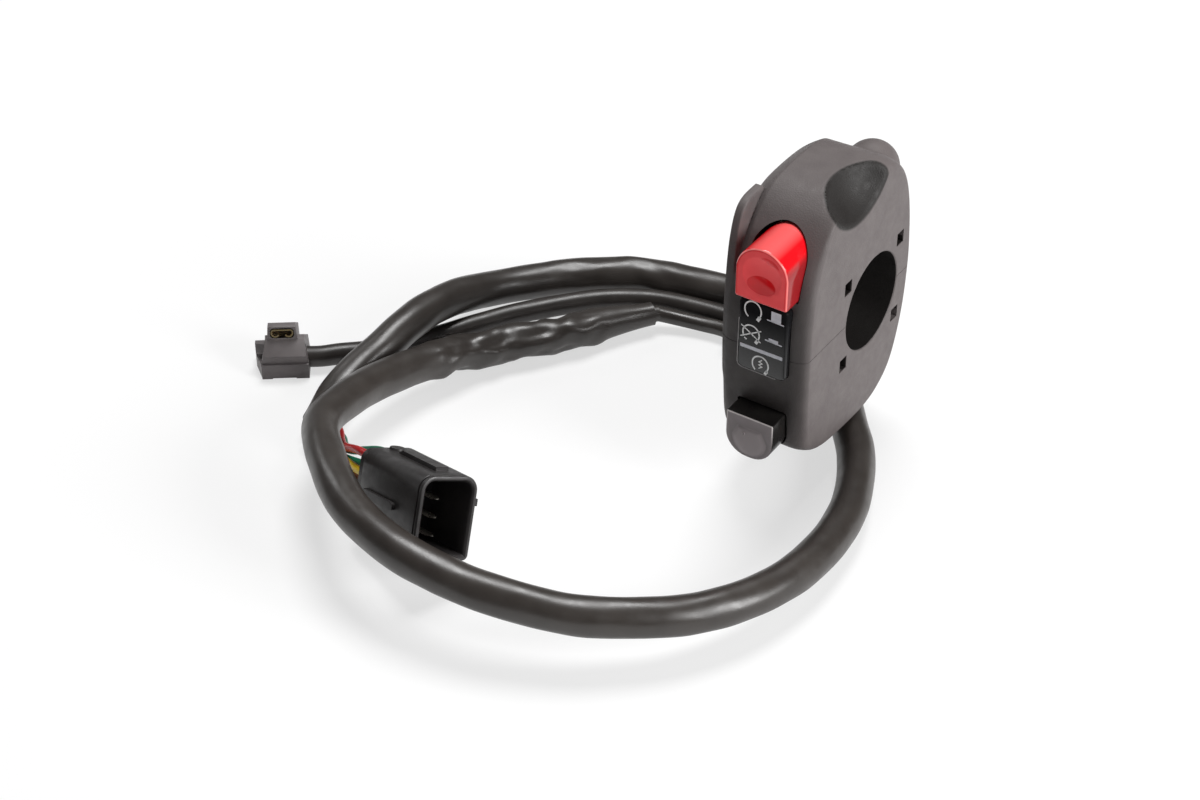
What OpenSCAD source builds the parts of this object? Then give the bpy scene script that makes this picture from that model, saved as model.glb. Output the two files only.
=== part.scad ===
// Handlebar switch cluster in millimetres: a kill knob and a start button in a two-part housing
// that clamps on a handlebar tube, with its wiring harness, a wide connector and a small one.
// X runs along the bar, out of the flat side face. The front, with the knob, faces -Y, and Z is up.
// The origin lies on the bar's axis, in the plane of the flat side face.

/* [Bar clamp] */
// Diameter of the bore that grips the handlebar tube
bar_bore_d = 22.2; // [21.8:0.1:22.6]
// Wall of the half tubes round the bore
bar_wall = 2.2; // [2:0.1:2.4]

/* [Housing] */
// Width of the housing along the bar
housing_w = 21.5; // [21.5:0.1:23]
// Reach of the side face in front of the bar axis
side_front = 27; // [26.6:0.1:27.4]
// Reach of the side face behind the bar axis
side_rear = 16.6; // [16.2:0.1:17.4]
// Height of the side face above the bar axis
side_top = 32; // [31.6:0.1:33]
// Depth of the side face below the bar axis
side_bottom = 28.4; // [28.2:0.1:28.6]
// Swell of the front between the two sides
front_crown = 1.6; // [1.3:0.1:1.9]
// Swell of the back between the two sides
rear_crown = 2; // [1.6:0.1:2.4]
// Swell of the top between the two sides
top_crown = 1.2; // [0.8:0.1:1.6]
// Swell of the underside between the two sides
bottom_crown = 0.5; // [0.3:0.1:0.6]
// Width of the rounded edge at each side
edge_w = 4.5; // [4:0.1:5]
// Wall thickness of the two shells
wall = 2.2; // [2:0.1:2.4]
// Width of the thumb rim along the inboard edge of the front
rim_w = 2.6; // [2.2:0.1:3]
// Radius of the scoop between the top and the side face
scoop_r = 15.3; // [15:0.1:15.6]
// Radius of the hump behind the top
hump_r = 5.9; // [5.6:0.1:6.2]
// Width of the four locating pockets round the bore
key_w = 2.9; // [2.5:0.1:3.1]
// Height of the locating pockets
key_h = 3.2; // [2.8:0.1:3.4]
// Depth of the locating pockets
key_depth = 1.5; // [1:0.1:1.7]

/* [Kill knob] */
// Width of the knob
knob_w = 12.2; // [11.8:0.1:12.4]
// Height of the knob
knob_h = 13; // [12.6:0.1:13.4]
// Reach of the knob's face in front of the bar axis
knob_reach = 32; // [31.6:0.1:32.6]
// Push of the knob from run to off
kill_travel = 4; // [3:0.1:4.2]

/* [Start button] */
// Width of the button
button_w = 11.2; // [10.8:0.1:11.6]
// Height of the button
button_h = 10.4; // [10.2:0.1:10.8]
// Radius of the button's two lower corners
button_corner_r = 5; // [4.4:0.1:5.1]
// Reach of the button's face in front of the bar axis
button_reach = 33.5; // [33:0.1:34]
// Push of the button
start_travel = 3; // [2:0.1:3.2]

/* [Switch modules] */
// Diameter of the plunger stems
stem_d = 4.2; // [4:0.1:4.4]
// Outer diameter of the return springs
spring_d = 6; // [5.8:0.1:6.1]
// Wire diameter of the return springs
spring_wire_d = 0.5; // [0.4:0.05:0.55]
// Coils of each return spring
spring_turns = 5; // [4:1:6]
// Thickness of the contact strips and bridges
contact_t = 0.8; // [0.6:0.1:0.9]

/* [Legend plate] */
// Width of the legend plate
legend_w = 11.6; // [11.2:0.1:12]
// Reach of the plate's face in front of the bar axis
legend_reach = 30; // [29.8:0.1:30.4]
// Thickness of the legend plate
legend_t = 2.6; // [2.4:0.1:2.8]

/* [Fasteners] */
// Shank diameter of the two case screws
case_screw_d = 2.5; // [2.2:0.1:2.6]
// Shank length of the two case screws
case_screw_l = 25; // [24:0.5:26]
// Shank diameter of the four module screws
base_screw_d = 1.4; // [1.2:0.1:1.5]

/* [Harness] */
// Outer diameter of the main sleeve and the branch sleeve
sleeve_d = 8.4; // [8.2:0.1:8.5]
// Outer diameter of the taped trunk behind the main sleeve
trunk_d = 3.5; // [3.2:0.1:3.8]
// Outer diameter of the accessory lead
lead_d = 5; // [4.6:0.1:5.2]
// Outer diameter of a single wire
wire_d = 1.8; // [1.6:0.1:1.9]

/* [Wide connector] */
// Width of the eight-way connector's shroud
plug_w = 13.4; // [13:0.1:13.8]
// Height of the shroud
plug_h = 17.8; // [17.4:0.1:18.2]
// Length of the shroud
plug_l = 26; // [25.5:0.1:26.5]
// Wall of the shroud
plug_wall = 1.2; // [1:0.1:1.4]

/* [Small connector] */
// Width of the small connector
tab_w = 10.8; // [10.4:0.1:11.2]
// Depth of the small connector from front to back
tab_depth = 9; // [8.6:0.1:9.4]
// Height of the small connector over the floor
tab_h = 12; // [11.7:0.1:12.4]

/* [Hidden] */
$fn = 48;

// Clearances and the overrun of cuts
overrun = 1;
fit_gap = 0.06;
slide_gap = 0.35;
seat_gap = 0.1;
contact_gap = 0.3;

// Height of the floor that the object stands on
floor_z = -38;

// Outlines seen along the bar, of the side face and of the swollen middle: shares of the reach to
// the front or the back and of the height above or below the bar axis, round from the front
side_outline_shares = [
    [1, 0], [0.99, 0.25], [0.95, 0.5], [0.89, 0.66], [0.81, 0.81], [0.67, 0.93], [0.4, 1],
    [-0.22, 0.95], [-0.52, 0.9], [-0.74, 0.76], [-0.88, 0.56], [-0.97, 0.28], [-1, 0],
    [-0.93, -0.4], [-0.72, -0.76], [-0.42, -0.93], [0, -1], [0.42, -0.99], [0.7, -0.95],
    [0.88, -0.86], [0.95, -0.74], [0.985, -0.4]];
mid_outline_shares = [
    [1, 0], [1, 0.24], [0.955, 0.44], [0.87, 0.65], [0.77, 0.79], [0.61, 0.92], [0.38, 0.99],
    [-0.15, 0.985], [-0.5, 0.9], [-0.74, 0.76], [-0.88, 0.56], [-0.97, 0.28], [-1, 0],
    [-0.93, -0.4], [-0.72, -0.76], [-0.42, -0.93], [0, -1], [0.42, -0.99], [0.7, -0.95],
    [0.88, -0.86], [0.95, -0.74], [0.985, -0.4]];
// Steps of the edge round the side face: share of its width, share of the swell
edge_shares = [[0, 0], [0.25, 0.55], [0.6, 0.87], [1, 1]];
// Steps of the softer edge round the far side: share of its width, shares of the fall at the front,
// the back and below, and of the fall at the top
far_edge_shares = [[0, 1, 1], [0.15, 0.58, 0.76], [0.35, 0.3, 0.56], [0.62, 0.1, 0.33], [1, 0, 0.1]];
far_front_fall = 4.4;
far_rear_fall = 2.4;
far_top_fall = 4.6;
far_bottom_fall = 2;
slab_t = 0.2;

// Thumb rim: its reach to the front, its height, its distance from the far side, the share of its
// size that its outer edge has, and the shares of its outline
rim_front = 27.4;
rim_up = 31;
rim_in = 0.6;
rim_edge_share = 0.94;
rim_shares = [[0.7, -0.5], [0.95, -0.4], [1, -0.15], [1, 0.26], [0.98, 0.58], [0.945, 0.78], [0.88, 0.93],
    [0.775, 0.99], [0.58, 1], [0.58, 0.4]];

// Scoop and hump centres
scoop_out = 7.8;
scoop_front = 8;
scoop_up = 37.8;
hump_in = 8.7;
hump_rear = 12.8;
hump_up = 23.9;

// Places of the locating pockets round the bore
key_y = 11.35;
key_z = 9.8;

// Knob and button places: distance of their axes from the side face, and their edges
knob_in = 9.2;
knob_bottom = 14.2;
button_in = 9.8;
button_top = 14.4;
push_len = 12.5;
recess_depth = 3;
spring_pocket = 3.5;
knob_axis_z = knob_bottom + knob_h / 2 - 0.2 * slide_gap;
button_axis_z = -button_top - button_h / 2;

// Switch modules
base_front = 15.2;
base_depth = 6.2;
base_w = 11.2;
base_in = 10.2;
base_out = 24.3;
tip_d = 2.4;
bridge_w = 8.8;
bridge_h = 3;
ring_d = 4.8;
ring_t = 0.5;
strip_in = 2.4;
strip_w = 2.2;
strip_tail = 12.8;
lip_l = 2.6;
latch_pin_d = 0.9;
latch_groove_w = 1.5;
latch_groove_depth = 0.9;
base_screw_z = 12.3;
base_screw_off = 4;
base_screw_head_d = 2.6;
base_screw_head_t = 1;
base_screw_grip = 4;
post_d = 3;
spring_seat = 0.15;

// Legend plate
legend_in = 9.5;
legend_top = 12;
legend_bottom = 4.8;
legend_corner = 1.4;
legend_bevel = 0.7;

// Case screws: distance in from the side face, reach in front of the bar axis, depth of the head's seat
screw_from_far_side = 3.05;
screw_from_side = 4.4;
case_screw_places = [[housing_w - screw_from_far_side, 18.6, 16.5], [screw_from_side, -15.2, 14]];
boss_d = 6;
screw_head_d = 4.4;
screw_head_t = 2;
hex_d = 2.3;
hex_depth = 1.1;
insert_d = 3.6;
insert_l = 5;
insert_cover = 0.5;

// Cable outlet: a round foot under the back of the housing, its place and the way its mouth points
outlet_in = 13;
outlet_rear = 11.5;
outlet_r = 6;
outlet_axis_z = -32.2;
outlet_angle = -50.8;
outlet_start = 2.4;
tie_z = -17.6;
tie_h = 2.4;
tie_r = 3.9;
tie_bore_r = 2.3;
duct_r = 3.2;
grommet_r = 5.1;
grommet_from = 3.6;
grommet_to = 6.8;

// Wires inside the housing
inner_wire_d = 1.4;
kill_wire_one = [
    [-13.95, 12.45, -32], [-13.95, 12.45, -15], [-14.4, 11.2, -13.2], [-16, 8, -13.6], [-17.6, 2, -16.6],
    [-18.2, -5, -18], [-18.2, -11.4, -13.4], [-18.2, -14.3, -4], [-18.2, -14.3, 2], [-18, -12.8, 9.6],
    [-16.8, -9.4, 13.8], [-14.8, -7.5, 15.5], [-13.2, -7.4, 15.7], [-11.7, -7.4, 15.7]];
kill_wire_two = [
    [-13.95, 10.55, -32], [-13.95, 10.55, -15], [-14.1, 9.6, -14.3], [-14.8, 7, -14.4], [-15.8, 3.4, -16.8],
    [-16.4, -0.5, -18.9], [-16.5, -5, -19.6], [-16.5, -11.4, -13.8], [-16.5, -14.3, -4], [-16.5, -14.3, 2],
    [-16.4, -12.6, 8], [-16.4, -9.8, 11.2], [-15.2, -7.4, 12.8], [-12.6, -6.5, 13.3], [-9, -6.6, 14.2], [-7.2, -7.3, 15.4],
    [-5, -7.4, 15.7]];
start_wire_one = [
    [-12.05, 12.45, -32], [-12.05, 12.45, -15], [-11.5, 11.2, -13.2], [-9.6, 8, -13.8], [-7, 3, -17.4],
    [-5, 0.4, -19.6], [-4.7, -1.4, -19.6], [-4.7, -2.9, -19.6]];
start_wire_two = [
    [-12.05, 10.55, -32], [-12.05, 10.55, -15], [-12, 9.6, -14.3], [-12.1, 7, -14.4], [-13.2, 3.2, -17.2],
    [-14.5, 0.7, -19.5], [-14.9, -1.2, -19.6], [-14.9, -2.9, -19.6]];

// Routes of the harness, lying on the floor or resting on what they cross
main_route = [
    [-11.5, 9.65, -32.2], [-8, 5.35, -32.25], [-3, -0.7, -33.2], [4.1, -10, -33.8], [10.2, -22.6, -33.4],
    [13.9, -38, -32.4], [13.8, -53.8, -31], [9.6, -69.1, -29.2], [1.2, -82, -27.6], [-10.7, -92, -26],
    [-23, -98, -24], [-36, -101.6, -22], [-51, -102, -20], [-66, -97.3, -19.2], [-79.9, -86.9, -20],
    [-89.3, -77, -22], [-92.7, -65.5, -24.2], [-93.4, -51, -27.4], [-90.4, -35, -30.7], [-84.8, -22.5, -32.8],
    [-76.3, -9.9, -33.6], [-68.4, 2.4, -33.8], [-61.8, 11, -33.8]];
trunk_route = [
    [-61.3, 11.8, -34], [-57.5, 13.7, -34.8], [-52, 15.6, -35.4], [-47, 16.6, -35.4], [-43.1, 16.6, -35.4]];
branch_route = [
    [-43.1, 28.6, -33.8], [-48, 28.6, -33.8], [-56, 27.4, -33.8], [-65, 25.6, -33.8], [-73.5, 22.6, -33.8],
    [-82.4, 16.4, -33.8], [-90.3, 8.9, -33.8], [-96.8, -0.6, -32.9], [-100.2, -11.5, -30.2], [-101.5, -22, -28.4],
    [-101.8, -31, -28.2], [-102.3, -39, -29.4], [-103.4, -47, -31.4], [-103.3, -55, -33.2], [-100.2, -65, -33.8]];
lead_route = [
    [-43.1, 21.6, -35.4], [-47.5, 21.6, -35.4], [-57, 20.1, -35.4], [-66, 17.6, -35.4], [-74.2, 12.6, -35.4],
    [-80.2, 6.9, -35.4], [-88.6, -3.4, -35.4], [-95, -13.8, -35.4], [-100, -23, -35.4], [-104.6, -30.5, -35.4],
    [-109.4, -36.2, -35.3], [-113.9, -40.6, -35.15], [-117, -43.84, -35.15], [-119.84, -45.94, -35.15]];
sleeve_sides = 10;
wire_sides = 8;

// Splice boot that holds the ends of the trunk, the branch and the lead
boot_x = -44;
boot_l = 22;
boot_y = [12.8, 33.8];
boot_h = 10.4;
boot_r = 3.6;

// Pose of the wide connector: its middle on the floor plane, and its turns about X, Y and Z
plug_place = [-59.3, -84.6];
plug_turn = [-23, -17, -20];
plug_top_r = 3.2;
plug_low_r = 1.2;
plug_depth = 15;
pin_columns = 2;
pin_rows = 4;
pin_pitch_y = 5.2;
pin_pitch_z = 3.9;
pin_w = 1.5;
pin_t = 0.64;
pin_l = 10;
seal_d = 3.4;
seal_l = 4.4;
seal_seat = 2;
rail_l = 11;
rail_w = 3;
rail_t = 0.9;
rail_from = 4;
rib_l = 12;
rib_w = 1.6;
rib_t = 0.8;
rib_from = 9;
lug_l = 2;
lug_w = 1.4;
lug_t = 1.6;
lug_from = 1.2;

// Pose of the small connector: its front left foot on the floor, and its turn about Z
tab_place = [-125.2, -55.5];
tab_turn = 36.5;
tab_tilt = 36;
tab_step_shares = [0.325, 0.515, 0.715];
tab_slope_share = 0.4;
tab_ridge = 1.8;
tab_recess = 0.6;
tab_head_w = 6.8;
tab_head_in = 1.6;
tab_slot_w = 5.6;
tab_slot_h = 2.2;
tab_slot_depth = 5;
tab_wing = 1.4;
tab_flare = 1.6;
curl_r = 1;
curl_t = 0.35;
curl_l = 5;
curl_gap = 0.8;

// Bundle of wires between the wide connector and the branch sleeve: its middle, its heading and the
// turn of its grid at each bend
wire_out = 6;
wire_knees = [[-89.2, -73.4, -33], [-95, -68.9, -33.8], [-99, -66, -34]];
wire_headings = [[-0.86, 0.51, 0], [-0.8, 0.61, 0], [-0.61, 0.79, 0]];
wire_turns = [35, 15, 0];
wire_pitch = 2.1;

// Derived sizes
bore_r = bar_bore_d / 2;
tube_r = bore_r + bar_wall;
kill_axis = [-knob_in, knob_axis_z];
start_axis = [-button_in, button_axis_z];
knob_rear = knob_reach - push_len;
button_rear = button_reach - push_len;
base_rear = base_front - base_depth;
bridge_front = base_rear - contact_t - contact_gap;
outlet_centre = [-outlet_in, outlet_rear];
plug_z = floor_z + plug_l / 2 * abs(sin(plug_turn[1]))
    + (plug_w / 2 - plug_low_r) * abs(cos(plug_turn[1]) * sin(plug_turn[0]))
    + (plug_h / 2 - plug_low_r) * cos(plug_turn[1]) * cos(plug_turn[0])
    + plug_low_r * abs(cos(plug_turn[1]));

// Points of an outline in the plane across the bar, from its shares and its four reaches
function outline(shares, front, rear, top, bottom) = [
    for (p = shares) [-p[0] * (p[0] > 0 ? front : rear), p[1] * (p[1] > 0 ? top : bottom)]];
// The housing's outline at a share of its swell
function section(swell) = outline(
    (1 - swell) * side_outline_shares + swell * mid_outline_shares,
    side_front + swell * front_crown, side_rear + swell * rear_crown,
    side_top + swell * top_crown, side_bottom + swell * bottom_crown);
// The housing's outline in the edge round the far side, at shares of the two falls
function far_section(fall, top_fall) = outline(mid_outline_shares,
    side_front + front_crown - fall * far_front_fall, side_rear + rear_crown - fall * far_rear_fall,
    side_top + top_crown - top_fall * far_top_fall, side_bottom + bottom_crown - fall * far_bottom_fall);
// The outline of the hollow inside
function hollow_section() = outline(side_outline_shares,
    side_front + front_crown / 2 - wall, side_rear + rear_crown / 2 - wall, side_top - wall, side_bottom - wall);
// Unit vector, and the direction of a route at one of its points
function unit(v) = v / norm(v);
function heading(p, i) = unit(p[min(i + 1, len(p) - 1)] - p[max(i - 1, 0)]);
// Vectors across a route, carried from point to point without twist
function carried(p, i, a) = i == len(p) ? [] :
    let (h = heading(p, i), b = unit(a - (a * h) * h)) concat([b], carried(p, i + 1, b));
// Turns a local vector by rotations about X, then Y, then Z
function turned(v, a) =
    let (x = [v[0], v[1] * cos(a[0]) - v[2] * sin(a[0]), v[1] * sin(a[0]) + v[2] * cos(a[0])],
         y = [x[0] * cos(a[1]) + x[2] * sin(a[1]), x[1], -x[0] * sin(a[1]) + x[2] * cos(a[1])])
    [y[0] * cos(a[2]) - y[1] * sin(a[2]), y[0] * sin(a[2]) + y[1] * cos(a[2]), y[2]];
// Place in space of a point in the wide connector's own frame
function plug_point(v) = turned(v, plug_turn) + [plug_place[0], plug_place[1], plug_z];

// A tube of one diameter swept along a route
module tube(route, d, sides) {
    sideways = carried(route, 0, cross(heading(route, 0), abs(heading(route, 0)[2]) > 0.9 ? [0, 1, 0] : [0, 0, 1]));
    rings = [for (i = [0:len(route) - 1])
        let (a = sideways[i], b = cross(a, heading(route, i)))
        for (j = [0:sides - 1]) route[i] + d / 2 * (cos(360 * j / sides) * a + sin(360 * j / sides) * b)];
    last = (len(route) - 1) * sides;
    polyhedron(rings, concat(
        [[for (j = [0:sides - 1]) j]],
        [[for (j = [0:sides - 1]) last + sides - 1 - j]],
        [for (i = [0:len(route) - 2], j = [0:sides - 1])
            let (k = (j + 1) % sides) [i * sides + j, (i + 1) * sides + j, i * sides + k]],
        [for (i = [0:len(route) - 2], j = [0:sides - 1])
            let (k = (j + 1) % sides) [(i + 1) * sides + j, (i + 1) * sides + k, i * sides + k]]));
}

// Extrudes a profile drawn in X and Z towards the front, from one reach to another
module to_front(from, to) {
    translate([0, -from, 0]) rotate([90, 0, 0]) linear_extrude(height = to - from) children();
}

// Extrudes an outline drawn in Y and Z along the bar, from one place to another
module along_bar(from, to) {
    translate([from, 0, 0]) rotate([90, 0, 90]) linear_extrude(height = to - from) children();
}

// A cylinder along Y from one reach in front of the bar axis to another
module rod(axis, from, to, d) {
    translate([axis[0], -from, axis[1]]) rotate([90, 0, 0]) cylinder(h = to - from, d = d);
}

// A rectangle with a radius for its top corners and one for its bottom corners
module round_rect(w, h, top_r, low_r) {
    union() {
        translate([-w / 2, -h / 2 + low_r]) square([w, h - low_r - top_r]);
        translate([-w / 2 + top_r, -h / 2 + low_r]) square([w - 2 * top_r, h - low_r]);
        translate([-w / 2 + low_r, -h / 2]) square([w - 2 * low_r, h / 2]);
        for (s = [-1, 1]) {
            translate([s * (w / 2 - top_r), h / 2 - top_r]) circle(r = top_r);
            translate([s * (w / 2 - low_r), -h / 2 + low_r]) circle(r = low_r);
        }
    }
}

// The knob's outline, grown by a gap: an arch on a flat foot
module knob_outline(gap) {
    r = knob_w / 2;
    translate([-knob_in, knob_bottom + knob_h - r]) circle(r = r + gap);
    translate([-knob_in - r - gap, knob_bottom - gap]) square([knob_w + 2 * gap, knob_h - r + gap]);
}

// The button's outline, grown by a gap: a flat top over two round corners
module button_outline(gap) {
    translate([-button_in, button_axis_z])
        round_rect(button_w + 2 * gap, button_h + 2 * gap, gap + slide_gap, button_corner_r + gap);
}

// The outer form of the closed housing
module housing_form() {
    hull() {
        for (e = edge_shares) along_bar(-e[0] * edge_w - slab_t, -e[0] * edge_w) polygon(section(e[1]));
        for (e = far_edge_shares)
            along_bar(e[0] * edge_w - housing_w, e[0] * edge_w - housing_w + slab_t) polygon(far_section(e[1], e[2]));
    }
    hull() for (e = [[0, rim_edge_share], [0.3, 1], [1, 1]]) {
        x = rim_in + e[0] * rim_w - housing_w;
        along_bar(x, x + slab_t) polygon([for (p = rim_shares) e[1] * [-p[0] * rim_front, p[1] * rim_up]]);
    }
    translate([-hump_in, hump_rear, hump_up]) sphere(r = hump_r);
}

// The hollow inside the housing, which leaves the walls, the half tubes and the scoop's wall
module housing_hollow() {
    difference() {
        along_bar(wall - housing_w, -wall) polygon(hollow_section());
        rotate([0, -90, 0]) cylinder(h = housing_w, r = tube_r);
        translate([scoop_out, -scoop_front, scoop_up]) sphere(r = scoop_r + wall);
    }
}

// Everything that both shells share: bore, pockets, scoop
module shared_cuts() {
    translate([overrun, 0, 0]) rotate([0, -90, 0]) cylinder(h = housing_w + 2 * overrun, r = bore_r);
    translate([scoop_out, -scoop_front, scoop_up]) sphere(r = scoop_r);
    for (y = [-key_y, key_y], z = [-key_z, key_z])
        translate([-key_depth, y - key_w / 2, z - key_h / 2])
            cube([key_depth + overrun, key_w, key_h]);
    to_front(legend_reach - legend_t - seat_gap, legend_reach + overrun) legend_outline(seat_gap);
}

// The half of space above or below the seam
module half_space(side) {
    size = 4 * housing_w;
    translate([-size + housing_w, -size / 2, side > 0 ? 0 : -size]) cube([size, size, size]);
}

// Posts on the inside of the front wall that carry a switch module
module base_posts(axis, side) {
    for (s = [-1, 1])
        rod([axis[0] + s * base_screw_off, side * base_screw_z], base_front, side_front - wall / 2, post_d);
}

module post_holes(axis, side) {
    for (s = [-1, 1])
        rod([axis[0] + s * base_screw_off, side * base_screw_z], base_front - overrun,
            base_front + base_screw_grip + seat_gap, base_screw_d + 2 * fit_gap);
}

module upper_housing() {
    color("#4a4644") difference() {
        intersection() {
            union() {
                difference() {
                    housing_form();
                    housing_hollow();
                }
                intersection() {
                    housing_form();
                    union() {
                        base_posts(kill_axis, 1);
                        for (p = case_screw_places)
                            translate([-p[0], -p[1], 0]) cylinder(h = case_screw_l - p[2] + wall, d = boss_d);
                    }
                }
            }
            half_space(1);
        }
        shared_cuts();
        to_front(knob_rear - kill_travel, knob_reach + overrun) knob_outline(slide_gap);
        post_holes(kill_axis, 1);
        for (p = case_screw_places) translate([-p[0], -p[1], 0]) {
            translate([0, 0, -overrun])
                cylinder(h = case_screw_l - p[2] + overrun + seat_gap, d = case_screw_d + 2 * fit_gap);
            translate([0, 0, case_screw_l - p[2] - insert_cover - insert_l - seat_gap])
                cylinder(h = insert_l + 2 * seat_gap, d = insert_d + 2 * fit_gap);
        }
    }
}

module lower_housing() {
    color("#4a4644") difference() {
        union() {
            intersection() {
                union() {
                    difference() {
                        housing_form();
                        housing_hollow();
                    }
                    intersection() {
                        housing_form();
                        union() {
                            base_posts(start_axis, -1);
                            for (p = case_screw_places)
                                translate([-p[0], -p[1], -side_bottom]) cylinder(h = side_bottom, d = boss_d);
                        }
                    }
                }
                half_space(-1);
            }
            translate([outlet_centre[0], outlet_centre[1], floor_z])
                cylinder(h = tie_z - floor_z, r = outlet_r);
        }
        shared_cuts();
        to_front(button_rear - start_travel, button_reach + overrun) button_outline(slide_gap);
        post_holes(start_axis, -1);
        for (p = case_screw_places) translate([-p[0], -p[1], 0]) {
            translate([0, 0, -p[2] - seat_gap]) cylinder(h = p[2] + 2 * overrun, d = case_screw_d + 2 * slide_gap);
            translate([0, 0, floor_z]) cylinder(h = -floor_z - p[2], d = screw_head_d + slide_gap);
        }
        translate([outlet_centre[0], outlet_centre[1], outlet_axis_z])
            cylinder(h = tie_z - outlet_axis_z + overrun, r = duct_r);
        translate([outlet_centre[0], outlet_centre[1], tie_z])
            cylinder(h = tie_h + overrun, r = tie_r + fit_gap);
        translate([outlet_centre[0], outlet_centre[1], outlet_axis_z]) rotate([0, 90, outlet_angle])
            cylinder(h = 2 * outlet_r, r = grommet_r + fit_gap);
    }
}

module legend_outline(gap) {
    w = legend_w + 2 * gap;
    r = legend_corner + gap;
    translate([-legend_in, (legend_top - legend_bottom) / 2])
        round_rect(w, legend_top + legend_bottom + 2 * gap, r, r);
}

module legend_plate() {
    color("#161616") {
        to_front(legend_reach - legend_t, legend_reach - legend_bevel) legend_outline(0);
        to_front(legend_reach - legend_bevel, legend_reach - legend_bevel / 2) legend_outline(-legend_bevel / 4);
        to_front(legend_reach - legend_bevel / 2, legend_reach) legend_outline(-legend_bevel / 2);
    }
}

module case_screws() {
    color("silver") for (p = case_screw_places) translate([-p[0], -p[1], -p[2]]) difference() {
        union() {
            cylinder(h = case_screw_l, d = case_screw_d);
            translate([0, 0, -screw_head_t]) cylinder(h = screw_head_t, d = screw_head_d);
        }
        translate([0, 0, -screw_head_t - overrun]) cylinder(h = hex_depth + overrun, d = hex_d, $fn = 6);
    }
}

module case_inserts() {
    color("#c9a24b") for (p = case_screw_places)
        translate([-p[0], -p[1], case_screw_l - p[2] - insert_cover - insert_l]) difference() {
            cylinder(h = insert_l, d = insert_d);
            translate([0, 0, -overrun]) cylinder(h = insert_l + 2 * overrun, d = case_screw_d + fit_gap);
        }
}

// The back of a knob or button: a recess for the spring and a hole for the plunger's pin
module push_back_cuts(axis, rear) {
    rod(axis, rear - overrun, rear + recess_depth, spring_d + 2 * slide_gap);
    rod(axis, rear, rear + 2 * recess_depth + seat_gap, tip_d + fit_gap);
}

module kill_knob() {
    color("#d8202a") difference() {
        to_front(knob_rear, knob_reach) knob_outline(0);
        push_back_cuts(kill_axis, knob_rear);
    }
}

module start_button() {
    color("#2a2a2a") difference() {
        to_front(button_rear, button_reach) button_outline(0);
        push_back_cuts(start_axis, button_rear);
    }
}

// A plunger: a pin in the knob, a sliding stem, and a thin tip for the bridge contact and its ring
module plunger(axis, rear) {
    rod(axis, rear + recess_depth, rear + 2 * recess_depth, tip_d);
    rod(axis, bridge_front, rear + recess_depth, stem_d);
    rod(axis, bridge_front - contact_t - 2 * ring_t, bridge_front, tip_d);
}

module kill_plunger() {
    color("#d9d4c4") difference() {
        plunger(kill_axis, knob_rear);
        translate([kill_axis[0] + stem_d / 2 - latch_groove_depth, -base_front - slide_gap / 2,
                   kill_axis[1] - latch_groove_w / 2])
            cube([stem_d, kill_travel + latch_groove_w + slide_gap, latch_groove_w]);
    }
}

module start_plunger() {
    color("#d9d4c4") plunger(start_axis, button_rear);
}

// A flat copper bridge on the plunger's tip
module bridge(axis) {
    difference() {
        translate([axis[0] - bridge_w / 2, -bridge_front, axis[1] - bridge_h / 2])
            cube([bridge_w, contact_t, bridge_h]);
        rod(axis, bridge_front - 2 * contact_t, bridge_front + overrun, tip_d + fit_gap);
    }
}

module kill_bridge_contact() {
    color("#b87333") bridge(kill_axis);
}

module start_bridge_contact() {
    color("#b87333") bridge(start_axis);
}

// A ring that keeps the bridge on its tip
module retaining_ring(axis) {
    difference() {
        rod(axis, bridge_front - contact_t - fit_gap - ring_t, bridge_front - contact_t - fit_gap, ring_d);
        rod(axis, bridge_front - 3 * contact_t, bridge_front, tip_d + fit_gap);
    }
}

module kill_retaining_ring() {
    color("silver") retaining_ring(kill_axis);
}

module start_retaining_ring() {
    color("silver") retaining_ring(start_axis);
}

// A return spring from the pocket in the base to the recess in the knob
module return_spring(axis, rear) {
    low = base_front - spring_pocket + spring_seat + spring_wire_d / 2;
    high = rear + recess_depth - spring_seat - spring_wire_d / 2;
    steps = 8 * spring_turns;
    tube([for (i = [0:steps])
        [axis[0] + (spring_d - spring_wire_d) / 2 * cos(360 * i / 8),
         -low - (high - low) * i / steps,
         axis[1] + (spring_d - spring_wire_d) / 2 * sin(360 * i / 8)]], spring_wire_d, 6);
}

module kill_spring() {
    color("silver") return_spring(kill_axis, knob_rear);
}

module start_spring() {
    color("silver") return_spring(start_axis, button_rear);
}

// The moulded block that guides a plunger and carries the fixed contacts
module switch_base(axis, side, out) {
    difference() {
        translate([axis[0] - base_w / 2, -base_front + seat_gap, side > 0 ? base_in : -out])
            cube([base_w, base_depth - seat_gap, out - base_in]);
        rod(axis, base_rear - overrun, base_front + overrun, stem_d + 2 * fit_gap);
        rod(axis, base_front - spring_pocket, base_front + overrun, spring_d + slide_gap);
        for (s = [-1, 1])
            rod([axis[0] + s * base_screw_off, side * base_screw_z], base_rear - overrun, base_front + overrun,
                base_screw_d + 2 * seat_gap);
    }
}

module kill_base() {
    color("#e8e4da") difference() {
        switch_base(kill_axis, 1, base_out);
        latch_pin(fit_gap / 2, overrun);
    }
}

module start_base() {
    color("#e8e4da") switch_base(start_axis, -1, base_out);
}

// The latch pin that reaches from the base's side into the plunger's groove
module latch_pin(gap, beyond) {
    reach = base_w / 2 - stem_d / 2 + latch_groove_depth - contact_gap;
    translate([kill_axis[0] + base_w / 2 + beyond, -base_front + kill_travel + latch_groove_w / 2, kill_axis[1]])
        rotate([0, -90, 0]) cylinder(h = reach + beyond, d = latch_pin_d + 2 * gap);
}

module kill_latch_pin() {
    color("silver") latch_pin(0, 0);
}

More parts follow.
